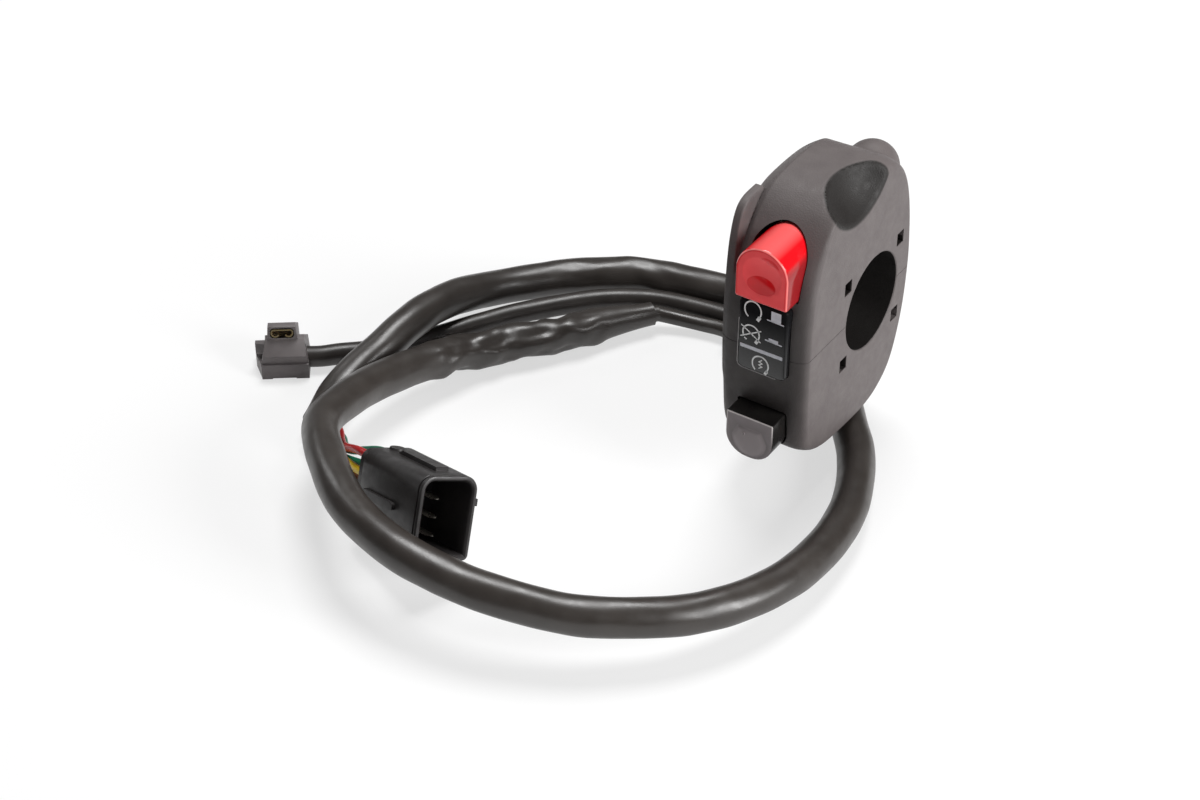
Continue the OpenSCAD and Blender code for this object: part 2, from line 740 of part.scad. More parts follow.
// Two fixed strips on the back of the kill module, which the bridge closes at rest
module kill_contacts() {
    color("#c9a24b") for (s = [-1, 1])
        translate([kill_axis[0] + s * (strip_in + strip_w / 2) - strip_w / 2, -base_rear, strip_tail + bridge_h / 2])
            cube([strip_w, contact_t, kill_axis[1] - strip_tail]);
}

// Two fixed strips whose lips lie behind the bridge, which closes them when the button is pushed
module start_contacts() {
    lip = bridge_front - contact_t - start_travel;
    reach = bridge_w / 2 + contact_gap;
    color("#c9a24b") for (s = [-1, 1]) {
        x = start_axis[0] + (s > 0 ? reach : -reach - contact_t);
        translate([x, -base_rear, start_axis[1] - bridge_h / 2])
            cube([contact_t, base_rear - lip + contact_gap + contact_t, bridge_h]);
        translate([s > 0 ? x + contact_t - lip_l : x, -lip + contact_gap, start_axis[1] - bridge_h / 2])
            cube([lip_l, contact_t, bridge_h]);
    }
}

// The four screws that hold the two modules on their posts
module base_screws() {
    color("silver") for (m = [[kill_axis, 1], [start_axis, -1]], s = [-1, 1]) {
        place = [m[0][0] + s * base_screw_off, m[1] * base_screw_z];
        rod(place, base_rear, base_front + base_screw_grip, base_screw_d);
        rod(place, base_rear - base_screw_head_t, base_rear, base_screw_head_d);
    }
}

// Four wires inside the housing, from the outlet to the contact strips
module housing_wires() {
    color("#3b7d4f") tube(kill_wire_one, inner_wire_d, wire_sides);
    color("#d8b021") tube(kill_wire_two, inner_wire_d, wire_sides);
    color("#b03030") tube(start_wire_one, inner_wire_d, wire_sides);
    color("#222222") tube(start_wire_two, inner_wire_d, wire_sides);
}

// The tie round the wires that keeps a pull on the harness off the contacts
module strain_tie() {
    color("#eeeeee") translate([outlet_centre[0], outlet_centre[1], tie_z + fit_gap]) difference() {
        cylinder(h = tie_h, r = tie_r);
        translate([0, 0, -overrun]) cylinder(h = tie_h + 2 * overrun, r = tie_bore_r);
    }
}

// The rubber ring between the outlet and the main sleeve
module outlet_grommet() {
    color("#1c1c1c") translate([outlet_centre[0], outlet_centre[1], outlet_axis_z])
        rotate([0, 90, outlet_angle]) translate([0, 0, grommet_from]) difference() {
            cylinder(h = grommet_to - grommet_from, r = grommet_r);
            translate([0, 0, -overrun]) cylinder(h = grommet_to + overrun, d = sleeve_d + 4 * seat_gap);
        }
}

module main_sleeve() {
    color("#3a3632") tube(main_route, sleeve_d, sleeve_sides);
}

module trunk_tape() {
    color("#33302d") tube(trunk_route, trunk_d, wire_sides);
}

module branch_sleeve() {
    color("#3a3632") tube(branch_route, sleeve_d, sleeve_sides);
}

module accessory_lead() {
    color("#33302d") tube(lead_route, lead_d, wire_sides);
}

// The boot: a flat block with round edges that the three harness ends enter
module splice_boot() {
    w = boot_y[1] - boot_y[0];
    color("#262422") difference() {
        translate([boot_x, boot_y[0] + w / 2, floor_z + boot_h / 2]) rotate([90, 0, 90])
            linear_extrude(height = boot_l) round_rect(w, boot_h, boot_r, boot_r);
        for (e = [[trunk_route[len(trunk_route) - 1], trunk_d], [branch_route[0], sleeve_d],
                  [lead_route[0], lead_d]])
            translate([boot_x - overrun, e[0][1], e[0][2]]) rotate([0, 90, 0])
                cylinder(h = 2 * overrun + seat_gap, d = e[1] + 2 * slide_gap);
    }
}

// Places children in the wide connector's own frame, with its mouth towards +X
module plug_frame() {
    translate([plug_place[0], plug_place[1], plug_z]) rotate(plug_turn) children();
}

// Places children at each way of the wide connector
module each_way() {
    for (i = [0:pin_columns - 1], j = [0:pin_rows - 1])
        translate([0, (i - (pin_columns - 1) / 2) * pin_pitch_y, (j - (pin_rows - 1) / 2) * pin_pitch_z]) children();
}

module wide_connector_shell() {
    color("#1d1d1f") plug_frame() difference() {
        union() {
            rotate([90, 0, 90]) translate([0, 0, -plug_l / 2])
                linear_extrude(height = plug_l) round_rect(plug_w, plug_h, plug_top_r, plug_low_r);
            translate([plug_l / 2 - rail_from - rail_l, -rail_w / 2, plug_h / 2 - plug_wall / 2])
                cube([rail_l, rail_w, plug_wall / 2 + rail_t]);
            translate([plug_l / 2 - rib_from - rib_l, -plug_w / 2 - rib_t, -rib_w / 2])
                cube([rib_l, plug_wall / 2 + rib_t, rib_w]);
            translate([plug_l / 2 - lug_from - lug_l, plug_w / 2 - plug_wall / 2, plug_h / 8])
                cube([lug_l, plug_wall / 2 + lug_t, lug_w]);
        }
        rotate([90, 0, 90]) translate([0, 0, plug_l / 2 - plug_depth])
            linear_extrude(height = plug_depth + overrun)
                round_rect(plug_w - 2 * plug_wall, plug_h - 2 * plug_wall, plug_top_r - plug_wall, plug_low_r / 2);
        each_way() translate([-plug_l / 2 - overrun, 0, 0]) rotate([0, 90, 0])
            cylinder(h = seal_seat + overrun + seat_gap, d = seal_d + 2 * fit_gap);
        each_way() translate([-pin_l / 2 - seat_gap, -pin_w / 2 - fit_gap, -pin_t / 2 - fit_gap])
            cube([pin_l, pin_w + 2 * fit_gap, pin_t + 2 * fit_gap]);
    }
}

module wide_connector_pins() {
    color("#c9b37a") plug_frame() each_way()
        translate([-pin_l / 2, -pin_w / 2, -pin_t / 2]) cube([pin_l, pin_w, pin_t]);
}

module wide_connector_seals() {
    color("#242426") plug_frame() each_way() translate([-plug_l / 2 - seal_l + seal_seat, 0, 0])
        rotate([0, 90, 0]) difference() {
            cylinder(h = seal_l, d = seal_d);
            translate([0, 0, -overrun]) cylinder(h = seal_l - seal_seat / 2 + overrun, d = wire_d + 2 * seat_gap);
        }
}

// Colours of the eight wires
wire_colours = ["#222222", "#2c4f9c", "#e2b80f", "#c33b3b", "#222222", "#7a4a2c", "#1f7a5a", "#1f7a5a"];

// Place of one wire of the bundle: its middle, its heading, the turn of the grid and the pitches
function bundled(middle, h, angle, i, j, pitch) =
    let (level = unit(cross(h, [0, 0, 1])), up = cross(level, unit(h)))
    middle + i * pitch * (sin(angle) * level - cos(angle) * up) + j * pitch * (cos(angle) * level + sin(angle) * up);

module wide_connector_wires() {
    for (i = [0:pin_columns - 1], j = [0:pin_rows - 1]) {
        column = i - (pin_columns - 1) / 2;
        row = j - (pin_rows - 1) / 2;
        start = [seal_seat / 2 - plug_l / 2 - seal_l / 2, column * pin_pitch_y, row * pin_pitch_z];
        color(wire_colours[i * pin_rows + j]) tube(concat(
            [plug_point(start), plug_point(start - [wire_out, 0, 0])],
            [for (k = [0:len(wire_knees) - 1])
                bundled(wire_knees[k], wire_headings[k], wire_turns[k], column, row, wire_pitch)]),
            wire_d, wire_sides);
    }
}

// Places children in the small connector's own frame: X to its right, Y to its back, Z up
module tab_frame() {
    translate([tab_place[0], tab_place[1], floor_z]) rotate([0, 0, tab_turn]) children();
}

// Places children at the mouth of the small connector's slot, with Y along the slot's falling axis
module slot_frame() {
    translate([tab_head_in + tab_head_w / 2, tab_slope_share * tab_depth, (tab_step_shares[2] + 1) * tab_h / 2])
        rotate([-tab_tilt, 0, 0]) children();
}

module small_connector_body() {
    z1 = tab_step_shares[0] * tab_h;
    z2 = tab_step_shares[1] * tab_h;
    z3 = tab_step_shares[2] * tab_h;
    slope = tab_slope_share * tab_depth;
    ridge = slope + tab_ridge;
    fall = (tab_depth - ridge) * tan(tab_tilt);
    color("#232326") difference() {
        tab_frame() union() {
            rotate([90, 0, 90]) linear_extrude(height = tab_w) polygon([
                [0, 0], [0, z1], [tab_recess, z1], [tab_recess, z2], [0, z2], [slope, z3], [ridge, z3],
                [tab_depth, z3 - fall], [tab_depth, 0]]);
            translate([tab_head_in, 0, 0]) rotate([90, 0, 90]) linear_extrude(height = tab_head_w) polygon([
                [slope, z3 - slide_gap], [slope, tab_h], [ridge, tab_h], [tab_depth, tab_h - fall],
                [tab_depth, z3 - fall - slide_gap]]);
            translate([-tab_wing, slope, z1]) cube([tab_wing + slide_gap, tab_ridge, z3 - z1 - tab_wing]);
            linear_extrude(height = z1) polygon([
                [0, 0], [-tab_flare, ridge], [-tab_flare, tab_depth], [slide_gap, tab_depth], [slide_gap, 0]]);
        }
        tab_frame() slot_frame() translate([-tab_slot_w / 2, -2 * overrun, -tab_slot_h / 2])
            cube([tab_slot_w, tab_slot_depth + 2 * overrun, tab_slot_h]);
        tab_frame() translate([tab_w, tab_depth / 2, lead_d / 2 + slide_gap]) rotate([0, 90, 0])
            translate([0, 0, -overrun]) cylinder(h = 2 * overrun, d = lead_d + 2 * slide_gap);
    }
}

// The rolled receptacle: a flat back with both edges curled over
module small_connector_terminal() {
    color("#d7b45a") tab_frame() slot_frame() translate([0, slide_gap, 0]) {
        for (s = [-1, 1]) translate([s * (tab_slot_w / 2 - curl_r - seat_gap), 0, 0]) rotate([-90, 0, 0])
            difference() {
                cylinder(h = curl_l - slide_gap, r = curl_r);
                translate([0, 0, -overrun]) cylinder(h = curl_l + 2 * overrun, r = curl_r - curl_t);
                translate([-curl_gap / 2 - s * curl_r / 2, 0, -overrun])
                    cube([curl_gap, curl_r, curl_l + 2 * overrun]);
            }
        translate([-tab_slot_w / 2 + curl_r + seat_gap, 0, curl_r - curl_t])
            cube([tab_slot_w - 2 * curl_r - 2 * seat_gap, curl_l - slide_gap, curl_t]);
    }
}

upper_housing();
lower_housing();
legend_plate();
case_screws();
case_inserts();
kill_knob();
kill_plunger();
kill_bridge_contact();
kill_retaining_ring();
kill_spring();
kill_base();
kill_contacts();
kill_latch_pin();
start_button();
start_plunger();
start_bridge_contact();
start_retaining_ring();
start_spring();
start_base();
start_contacts();
base_screws();
housing_wires();
strain_tie();
outlet_grommet();
main_sleeve();
trunk_tape();
splice_boot();
branch_sleeve();
accessory_lead();
wide_connector_shell();
wide_connector_pins();
wide_connector_seals();
wide_connector_wires();
small_connector_body();
small_connector_terminal();
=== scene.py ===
# %% [markdown]
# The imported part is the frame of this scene. Each of its solids arrives as one object whose place is in its
# mesh, in metres, with the handlebar's axis through the origin. Nothing here moves those solids: a piece that
# needs a finer form is modelled beside its solid and replaces it.
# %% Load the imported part
import math
import bmesh
import bpy
import numpy as np
from mathutils import Euler, Matrix, Vector


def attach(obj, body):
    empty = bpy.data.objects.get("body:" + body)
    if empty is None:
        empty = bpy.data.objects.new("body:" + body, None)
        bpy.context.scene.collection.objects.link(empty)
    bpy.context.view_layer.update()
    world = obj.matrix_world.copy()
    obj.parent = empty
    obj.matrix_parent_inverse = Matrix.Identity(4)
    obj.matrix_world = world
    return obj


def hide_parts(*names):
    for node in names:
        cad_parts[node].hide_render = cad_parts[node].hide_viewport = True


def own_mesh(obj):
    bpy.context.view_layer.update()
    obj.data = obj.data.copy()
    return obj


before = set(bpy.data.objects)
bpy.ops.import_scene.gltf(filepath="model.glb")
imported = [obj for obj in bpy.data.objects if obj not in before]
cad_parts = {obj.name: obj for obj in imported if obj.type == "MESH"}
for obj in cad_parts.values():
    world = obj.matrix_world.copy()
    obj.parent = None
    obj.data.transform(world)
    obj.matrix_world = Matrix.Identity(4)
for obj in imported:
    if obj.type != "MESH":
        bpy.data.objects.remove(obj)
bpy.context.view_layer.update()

MM = 0.001


def in_scene(name, data):
    obj = bpy.data.objects.new(name, data)
    bpy.context.scene.collection.objects.link(obj)
    return obj


# %% [markdown]
# The camera comes first, because every later choice is judged through it. It stands in front of the housing,
# turned 34 degrees to its right and 37 degrees above the table, with a long lens that flattens the view.
# %% Camera
IMAGE_W = 1200
FOCAL_PIXELS = 2460
camera_data = bpy.data.cameras.new("camera")
camera_data.sensor_width = 36
camera_data.lens = FOCAL_PIXELS / IMAGE_W * camera_data.sensor_width
camera = in_scene("camera", camera_data)
camera.location = (0.1892, -0.3890, 0.2990)
camera.rotation_euler = (math.radians(52.8), 0, math.radians(33.6))
bpy.context.scene.camera = camera
print("lens", round(camera_data.lens, 1), "mm")

# %% [markdown]
# Materials share a few small tools. A noise read in Object coordinates keeps its place on the piece from any
# view, and because every object is unscaled its size is in real metres. One function makes every node of the
# scene: it is told the node's kind, and for each input a value or the output that feeds it.
# %% Tools for materials
def new_material(name):
    material = bpy.data.materials.new(name)
    material.use_nodes = True
    return material


def shader_of(material):
    return material.node_tree.nodes["Principled BSDF"]


def link(material, output, target):
    material.node_tree.links.new(output, target)


def new_node(tree, kind, inputs=(), **settings):
    """A node with its settings. Each of its inputs is given a value or another node's output."""
    made = tree.nodes.new(kind)
    for name, value in settings.items():
        setattr(made, name, value)
    for key, value in dict(inputs).items():
        if isinstance(value, bpy.types.NodeSocket):
            tree.links.new(value, made.inputs[key])
        else:
            made.inputs[key].default_value = value
    return made


def noise(material, size_mm, detail, stretch=(1, 1, 1), seed=(0, 0, 0)):
    tree = material.node_tree
    place = new_node(tree, "ShaderNodeTexCoord").outputs["Object"]
    scale = [s / (size_mm * MM) for s in stretch]
    mapping = new_node(tree, "ShaderNodeMapping", {"Location": seed, "Scale": scale, "Vector": place})
    return new_node(tree, "ShaderNodeTexNoise",
                    {"Scale": 1, "Detail": detail, "Vector": mapping.outputs["Vector"]}
                    ).outputs["Fac"]


def between(material, value, low, high, from_low=0.35, from_high=0.65):
    inputs = {"From Min": from_low, "From Max": from_high, "To Min": low, "To Max": high, "Value": value}
    return new_node(material.node_tree, "ShaderNodeMapRange", inputs).outputs["Result"]


def painted(material, share, below, above):
    """One colour over another by a share from 0 to 1. Each is three numbers or another node's output."""
    below, above = [(*c, 1) if isinstance(c, tuple) else c for c in (below, above)]
    return new_node(material.node_tree, "ShaderNodeMix", {0: share, 6: below, 7: above},
                    data_type="RGBA").outputs[2]


def relief(material, value, height_mm, below=None):
    inputs = {"Distance": height_mm * MM, "Strength": 1, "Height": value}
    if below is not None:
        inputs["Normal"] = below
    return new_node(material.node_tree, "ShaderNodeBump", inputs).outputs["Normal"]


# %% [markdown]
# With these tools every finish gets some change of colour, roughness and relief, which is what separates
# moulded plastic from a flat colour. A finish is told its two limits of each, and the size of its grain.
# %% One finish
def finish(name, dark, light, rough, grain_mm, grain_height, patch_mm=6.0, metal=0.0, specular=0.5,
           stretch=(1, 1, 1), wave=0.0):
    """A material whose colour, roughness and relief drift between two values each."""
    material = new_material(name)
    shader = shader_of(material)
    patches = between(material, noise(material, patch_mm, 4, seed=(3, 1, 7)), 0, 1)
    grain = noise(material, grain_mm, 2, stretch)
    rubs = noise(material, patch_mm / 3, 5, stretch, (5, 2, 9))
    link(material, painted(material, patches, dark, light), shader.inputs["Base Color"])
    link(material, between(material, rubs, *rough), shader.inputs["Roughness"])
    shader.inputs["Metallic"].default_value = metal
    shader.inputs["Specular IOR Level"].default_value = specular
    normal = relief(material, grain, grain_height)
    if wave:
        normal = relief(material, noise(material, patch_mm, 2, stretch, (1, 8, 4)), wave, below=normal)
    link(material, normal, shader.inputs["Normal"])
    return material


# %% [markdown]
# The soft pieces are one family: a loose vinyl sleeve, a rubber boot, taped wires. The sleeve has a satin skin
# that catches long highlights, so its roughness is fairly low, and a slow wave in its relief breaks them up.
# %% Materials of the harness
sleeve_vinyl = finish("sleeve_vinyl", (0.026, 0.021, 0.018), (0.036, 0.030, 0.026), (0.32, 0.40), 0.5, 0.012,
                      patch_mm=9, wave=0.04, specular=0.65)
lead_vinyl = finish("lead_vinyl", (0.022, 0.018, 0.016), (0.032, 0.027, 0.024), (0.34, 0.42), 0.4, 0.008,
                    patch_mm=7, wave=0.02)
boot_rubber = finish("boot_rubber", (0.016, 0.015, 0.015), (0.024, 0.022, 0.021), (0.55, 0.7), 0.3, 0.02)
wire_colours = {
    "green": (0.006, 0.16, 0.085), "red": (0.48, 0.018, 0.02), "yellow": (0.72, 0.5, 0.01),
    "black": (0.012, 0.012, 0.013), "blue": (0.02, 0.07, 0.28), "brown": (0.13, 0.05, 0.02)}
wire_finishes = {
    name: finish("wire_" + name, tuple(0.85 * c for c in colour), colour, (0.28, 0.4), 0.6, 0.006, patch_mm=4)
    for name, colour in wire_colours.items()}
print(len(wire_finishes), "wire colours")

# %% [markdown]
# Route points are a few millimetres apart or more, so a cubic curve through them gives the long
# even bends of a real sleeve. The curve is then cut to an even step, which keeps the tube's rings regular.
# %% Tools for routes
def cubic(a, b, c, d, t):
    """The place at a share t of the way from b to c, on the smooth curve through four points."""
    return 0.5 * (2 * b + (c - a) * t + (2 * a - 5 * b + 4 * c - d) * t ** 2 + (3 * b - a - 3 * c + d) * t ** 3)


def smooth_route(points, step_mm):
    p = [np.array(q, float) for q in points]
    p = [2 * p[0] - p[1]] + p + [2 * p[-1] - p[-2]]
    dense = []
    for a, b, c, d in zip(p, p[1:], p[2:], p[3:]):
        dense += [cubic(a, b, c, d, t) for t in np.linspace(0, 1, 24, endpoint=False)]
    dense = np.array(dense + [p[-2]])
    along = np.concatenate([[0], np.cumsum(np.linalg.norm(np.diff(dense, axis=0), axis=1))])
    count = max(2, int(round(along[-1] / step_mm)))
    even = np.linspace(0, along[-1], count + 1)
    return np.stack([np.interp(even, along, dense[:, k]) for k in range(3)], axis=1), along[-1]


def metres(points):
    return [tuple(MM * float(c) for c in p) for p in points]


# %% [markdown]
# One Geometry Nodes tree sweeps every cord of the harness. It turns a line of points into a curve, carries a
# ring along it, and pushes the skin in and out with noise that is read in the tube's own length and angle, so
# creases run across the sleeve as they do where loose vinyl is bunched. Real numbers are its named inputs.
# %% Geometry Nodes tree for a cord
def socket(tree, name, kind, default=None):
    made = tree.interface.new_socket(name, in_out="INPUT", socket_type=kind)
    if default is not None:
        made.default_value = default
    return made.identifier


def math_node(tree, operation, a, b=0.0):
    return new_node(tree, "ShaderNodeMath", {0: a, 1: b}, operation=operation).outputs[0]


def ease(tree, value, start, end):
    inputs = {"Value": value, "From Min": start, "From Max": end}
    return new_node(tree, "ShaderNodeMapRange", inputs, interpolation_type="SMOOTHSTEP").outputs["Result"]


cord_tree = bpy.data.node_groups.new("cord along a route", "GeometryNodeTree")
cord_sockets = {"Route": socket(cord_tree, "Route", "NodeSocketGeometry")}
for name, default in (("Radius", 0.004), ("Lump", 0.0), ("Crease", 0.0), ("Crease start", 0.0),
                      ("Crease end", 1.0), ("Crease fade", 0.01), ("Crease pitch", 0.004), ("Seed", 0.0)):
    cord_sockets[name] = socket(cord_tree, name, "NodeSocketFloat", default)
cord_sockets["Sides"] = socket(cord_tree, "Sides", "NodeSocketInt", 24)
cord_sockets["Material"] = socket(cord_tree, "Material", "NodeSocketMaterial")
cord_tree.interface.new_socket("Geometry", in_out="OUTPUT", socket_type="NodeSocketGeometry")
given = new_node(cord_tree, "NodeGroupInput").outputs
curve = new_node(cord_tree, "GeometryNodeMeshToCurve", {"Mesh": given["Route"]})
position = new_node(cord_tree, "GeometryNodeSplineParameter").outputs
ring = new_node(cord_tree, "GeometryNodeCurvePrimitiveCircle",
                {"Radius": given["Radius"], "Resolution": given["Sides"]})
kept = [new_node(cord_tree, "GeometryNodeStoreNamedAttribute",
                 {"Name": name, "Geometry": line.outputs["Curve"], "Value": position[measure]})
        for name, line, measure in (("along", curve, "Length"), ("around", ring, "Factor"))]
sweep = new_node(cord_tree, "GeometryNodeCurveToMesh",
                 {"Fill Caps": True, "Curve": kept[0].outputs["Geometry"],
                  "Profile Curve": kept[1].outputs["Geometry"]})

# %% [markdown]
# The second half of the tree is the skin. The angle round the tube becomes a point on a circle, so the noise
# meets itself without a seam, and two strengths are added: a slow lump everywhere and sharp creases between two
# lengths. Smooth shading, realised instances and the material end the tree.
# %% Skin of the cord tree
def attribute(tree, name):
    inputs = {"Name": name}
    return new_node(tree, "GeometryNodeInputNamedAttribute", inputs, data_type="FLOAT").outputs["Attribute"]


def skin_noise(tree, along, around, pitch, wraps, seed):
    angle = math_node(tree, "MULTIPLY", around, 2 * math.pi)
    inputs = {axis: math_node(tree, "MULTIPLY", math_node(tree, operation, angle), wraps)
              for axis, operation in (("X", "COSINE"), ("Y", "SINE"))}
    inputs["Z"] = math_node(tree, "ADD", math_node(tree, "DIVIDE", along, pitch), seed)
    place = new_node(tree, "ShaderNodeCombineXYZ", inputs).outputs["Vector"]
    texture = new_node(tree, "ShaderNodeTexNoise", {"Scale": 1, "Detail": 1, "Vector": place})
    return math_node(tree, "SUBTRACT", texture.outputs["Fac"], 0.5)


along, around = attribute(cord_tree, "along"), attribute(cord_tree, "around")
lump = math_node(cord_tree, "MULTIPLY", skin_noise(cord_tree, along, around, 0.014, 0.7, given["Seed"]),
                 given["Lump"])
crease = math_node(cord_tree, "MULTIPLY",
                   skin_noise(cord_tree, along, around, given["Crease pitch"], 0.9, given["Seed"]),
                   given["Crease"])
rise, fall = [ease(cord_tree, along, given[edge],
                   math_node(cord_tree, "ADD", given[edge], given["Crease fade"]))
              for edge in ("Crease start", "Crease end")]
window = math_node(cord_tree, "SUBTRACT", rise, fall)
push = math_node(cord_tree, "ADD", lump, math_node(cord_tree, "MULTIPLY", crease, window))
normal = new_node(cord_tree, "GeometryNodeInputNormal").outputs["Normal"]
outward = new_node(cord_tree, "ShaderNodeVectorMath", {"Vector": normal, "Scale": push}, operation="SCALE")
made = new_node(cord_tree, "GeometryNodeSetPosition",
                {"Geometry": sweep.outputs["Mesh"], "Offset": outward.outputs["Vector"]})
for kind in ("GeometryNodeSetShadeSmooth", "GeometryNodeRealizeInstances"):
    made = new_node(cord_tree, kind, {"Geometry": made.outputs["Geometry"]})
made = new_node(cord_tree, "GeometryNodeSetMaterial",
                {"Geometry": made.outputs["Geometry"], "Material": given["Material"]})
new_node(cord_tree, "NodeGroupOutput", {"Geometry": made.outputs["Geometry"]})
print(len(cord_tree.nodes), "nodes in the cord tree")


# %% [markdown]
# A cord object starts as its bare line of points. The tree's inputs are set by their identifiers before the
# object is evaluated, and the evaluated result is kept as a plain mesh, which needs no modifier any more.
# %% Making one cord
def plain(obj):
    bpy.context.view_layer.update()
    evaluated = obj.evaluated_get(bpy.context.evaluated_depsgraph_get())
    mesh = bpy.data.meshes.new_from_object(evaluated)
    obj.modifiers.clear()
    obj.data = mesh
    return obj


def line_object(name, points):
    mesh = bpy.data.meshes.new(name)
    mesh.from_pydata(metres(points), [(i, i + 1) for i in range(len(points) - 1)], [])
    return in_scene(name, mesh)


def make_cord(name, points, diameter_mm, material, step_mm, **inputs):
    path, length = smooth_route(points, step_mm)
    obj = line_object(name, path)
    modifier = obj.modifiers.new("cord", "NODES")
    modifier.node_group = cord_tree
    modifier[cord_sockets["Radius"]] = diameter_mm / 2 * MM
    modifier[cord_sockets["Material"]] = material
    for key, value in inputs.items():
        modifier[cord_sockets[key.replace("_", " ").capitalize()]] = value
    plain(obj)
    print(name, len(obj.data.polygons), "faces,", round(length, 1), "mm long")
    return obj, metres(path)


# %% [markdown]
# The main sleeve leaves the foot of the housing to the front, rises a little over the table in one wide loop,
# passes over the connector and comes back behind the housing, where it is bunched into creases. Its end is
# drawn together onto the taped trunk that comes out of it.
# %% Main sleeve
SLEEVE_D = 8.4
main_points = [
    (-11.5, 9.65, -32.2), (-8, 5.35, -32.25), (-3, -0.7, -33.2), (4.1, -10, -33.8), (10.2, -22.6, -33.4),
    (13.9, -38, -32.4), (13.8, -53.8, -31), (9.6, -69.1, -29.2), (1.2, -82, -27.6), (-10.7, -92, -26),
    (-23, -98, -24), (-36, -101.6, -22), (-51, -102, -20), (-66, -97.3, -19.2), (-79.9, -86.9, -20),
    (-89.3, -77, -22), (-92.7, -65.5, -24.2), (-93.4, -51, -27.4), (-90.4, -35, -30.7), (-84.8, -22.5, -32.8),
    (-76.3, -9.9, -33.6), (-68.4, 2.4, -33.8), (-61.8, 11, -33.8)]
main_sleeve, main_path = make_cord(
    "harness_sleeve", main_points, SLEEVE_D - 0.1, sleeve_vinyl, step_mm=1.0, sides=40, lump=0.0008,
    crease=0.0030, crease_start=0.246, crease_end=0.290, crease_fade=0.006, crease_pitch=0.0070, seed=4.3)


def narrow_end(obj, path, over, share):
    """Draw a cord's skin together to a share of its width, over that many last points of its path."""
    tail = [Vector(p) for p in path[-over:]]
    skin_reach = 7 * MM
    for v in obj.data.vertices:
        nearest = min(range(over), key=lambda i: (v.co - tail[i]).length)
        if (v.co - tail[nearest]).length < skin_reach:
            t = nearest / (over - 1)
            v.co = tail[nearest] + (v.co - tail[nearest]) * (1 + (share - 1) * t * t * (3 - 2 * t))


narrow_end(main_sleeve, main_path, 18, 0.66)

# %% [markdown]
# The branch comes out of the splice boot behind the housing, swings round the back of the loop and ends in an
# open cut end near the wide connector. The thinner lead beside it carries one wire to the small connector. The
# short taped trunk joins the main sleeve's narrow end to the boot.
# %% Branch sleeve, lead and taped trunk
LEAD_D, TRUNK_D = 5, 3.5
branch_points = [
    (-43.1, 28.6, -33.8), (-48, 28.6, -33.8), (-56, 27.4, -33.8), (-65, 25.6, -33.8), (-73.5, 22.6, -33.8),
    (-82.4, 16.4, -33.8), (-90.3, 8.9, -33.8), (-96.8, -0.6, -32.9), (-100.2, -11.5, -30.2),
    (-101.5, -22, -28.4), (-101.8, -31, -28.2), (-102.3, -39, -29.4), (-103.4, -47, -31.4),
    (-103.3, -55, -33.2), (-100.2, -65, -33.8)]
branch_sleeve, branch_path = make_cord(
    "branch_sleeve_skin", branch_points, SLEEVE_D - 0.1, sleeve_vinyl, step_mm=1.0, sides=40, lump=0.0009,
    crease=0.0011, crease_start=0.012, crease_end=0.045, crease_fade=0.012, crease_pitch=0.009, seed=11.7)
lead_points = [
    (-43.1, 21.6, -35.4), (-47.5, 21.6, -35.4), (-57, 20.1, -35.4), (-66, 17.6, -35.4), (-74.2, 12.6, -35.4),
    (-80.2, 6.9, -35.4), (-88.6, -3.4, -35.4), (-95, -13.8, -35.4), (-100, -23, -35.4), (-104.6, -30.5, -35.4),
    (-109.4, -36.2, -35.3), (-113.9, -40.6, -35.15), (-117, -43.84, -35.15), (-119.84, -45.94, -35.15)]
lead, lead_path = make_cord("lead_skin", lead_points, LEAD_D, lead_vinyl, step_mm=1.2, sides=36, lump=0.0003,
                            seed=2.2)
trunk_points = [(-61.3, 11.8, -34), (-57.5, 13.7, -34.8), (-52, 15.6, -35.4), (-47, 16.6, -35.4),
                (-43.1, 16.6, -35.4)]
trunk = make_cord("trunk_skin", trunk_points, TRUNK_D, sleeve_vinyl, step_mm=1.0, sides=28, lump=0.0005,
                  seed=7.9)[0]

# %% [markdown]
# Eight thin wires run from the seals at the back of the wide connector into the branch's open end. The two
# rows of four turn as they gather, so each wire's points come from one rule: the bundle's middle, its heading
# and the turn of the grid, the same rule that the CAD part follows.
# %% Eight wires
PLUG_PLACE = Vector((-59.3, -84.6, -24.218))
PLUG_TURN = Euler([math.radians(a) for a in (-23, -17, -20)], "XYZ")
plug_frame = Matrix.Translation(PLUG_PLACE) @ PLUG_TURN.to_matrix().to_4x4()
PITCH_Y, PITCH_Z = 5.2, 3.9
WIRE_D, BUNDLE_PITCH = 1.8, 2.1
knees = [(-89.2, -73.4, -33), (-95, -68.9, -33.8), (-99, -66, -34)]
headings = [(-0.86, 0.51, 0), (-0.8, 0.61, 0), (-0.61, 0.79, 0)]
turns = [35, 15, 0]


def bundled(middle, heading, angle, column, row):
    level = Vector(heading).cross(Vector((0, 0, 1))).normalized()
    up = level.cross(Vector(heading).normalized())
    s, c = math.sin(math.radians(angle)), math.cos(math.radians(angle))
    return Vector(middle) + BUNDLE_PITCH * (column * (s * level - c * up) + row * (c * level + s * up))


def wire_points(column, row):
    start = Vector((-14.2, column * PITCH_Y, row * PITCH_Z))
    points = [plug_frame @ start, plug_frame @ (start - Vector((6, 0, 0)))]
    return points + [bundled(m, h, a, column, row) for m, h, a in zip(knees, headings, turns)]


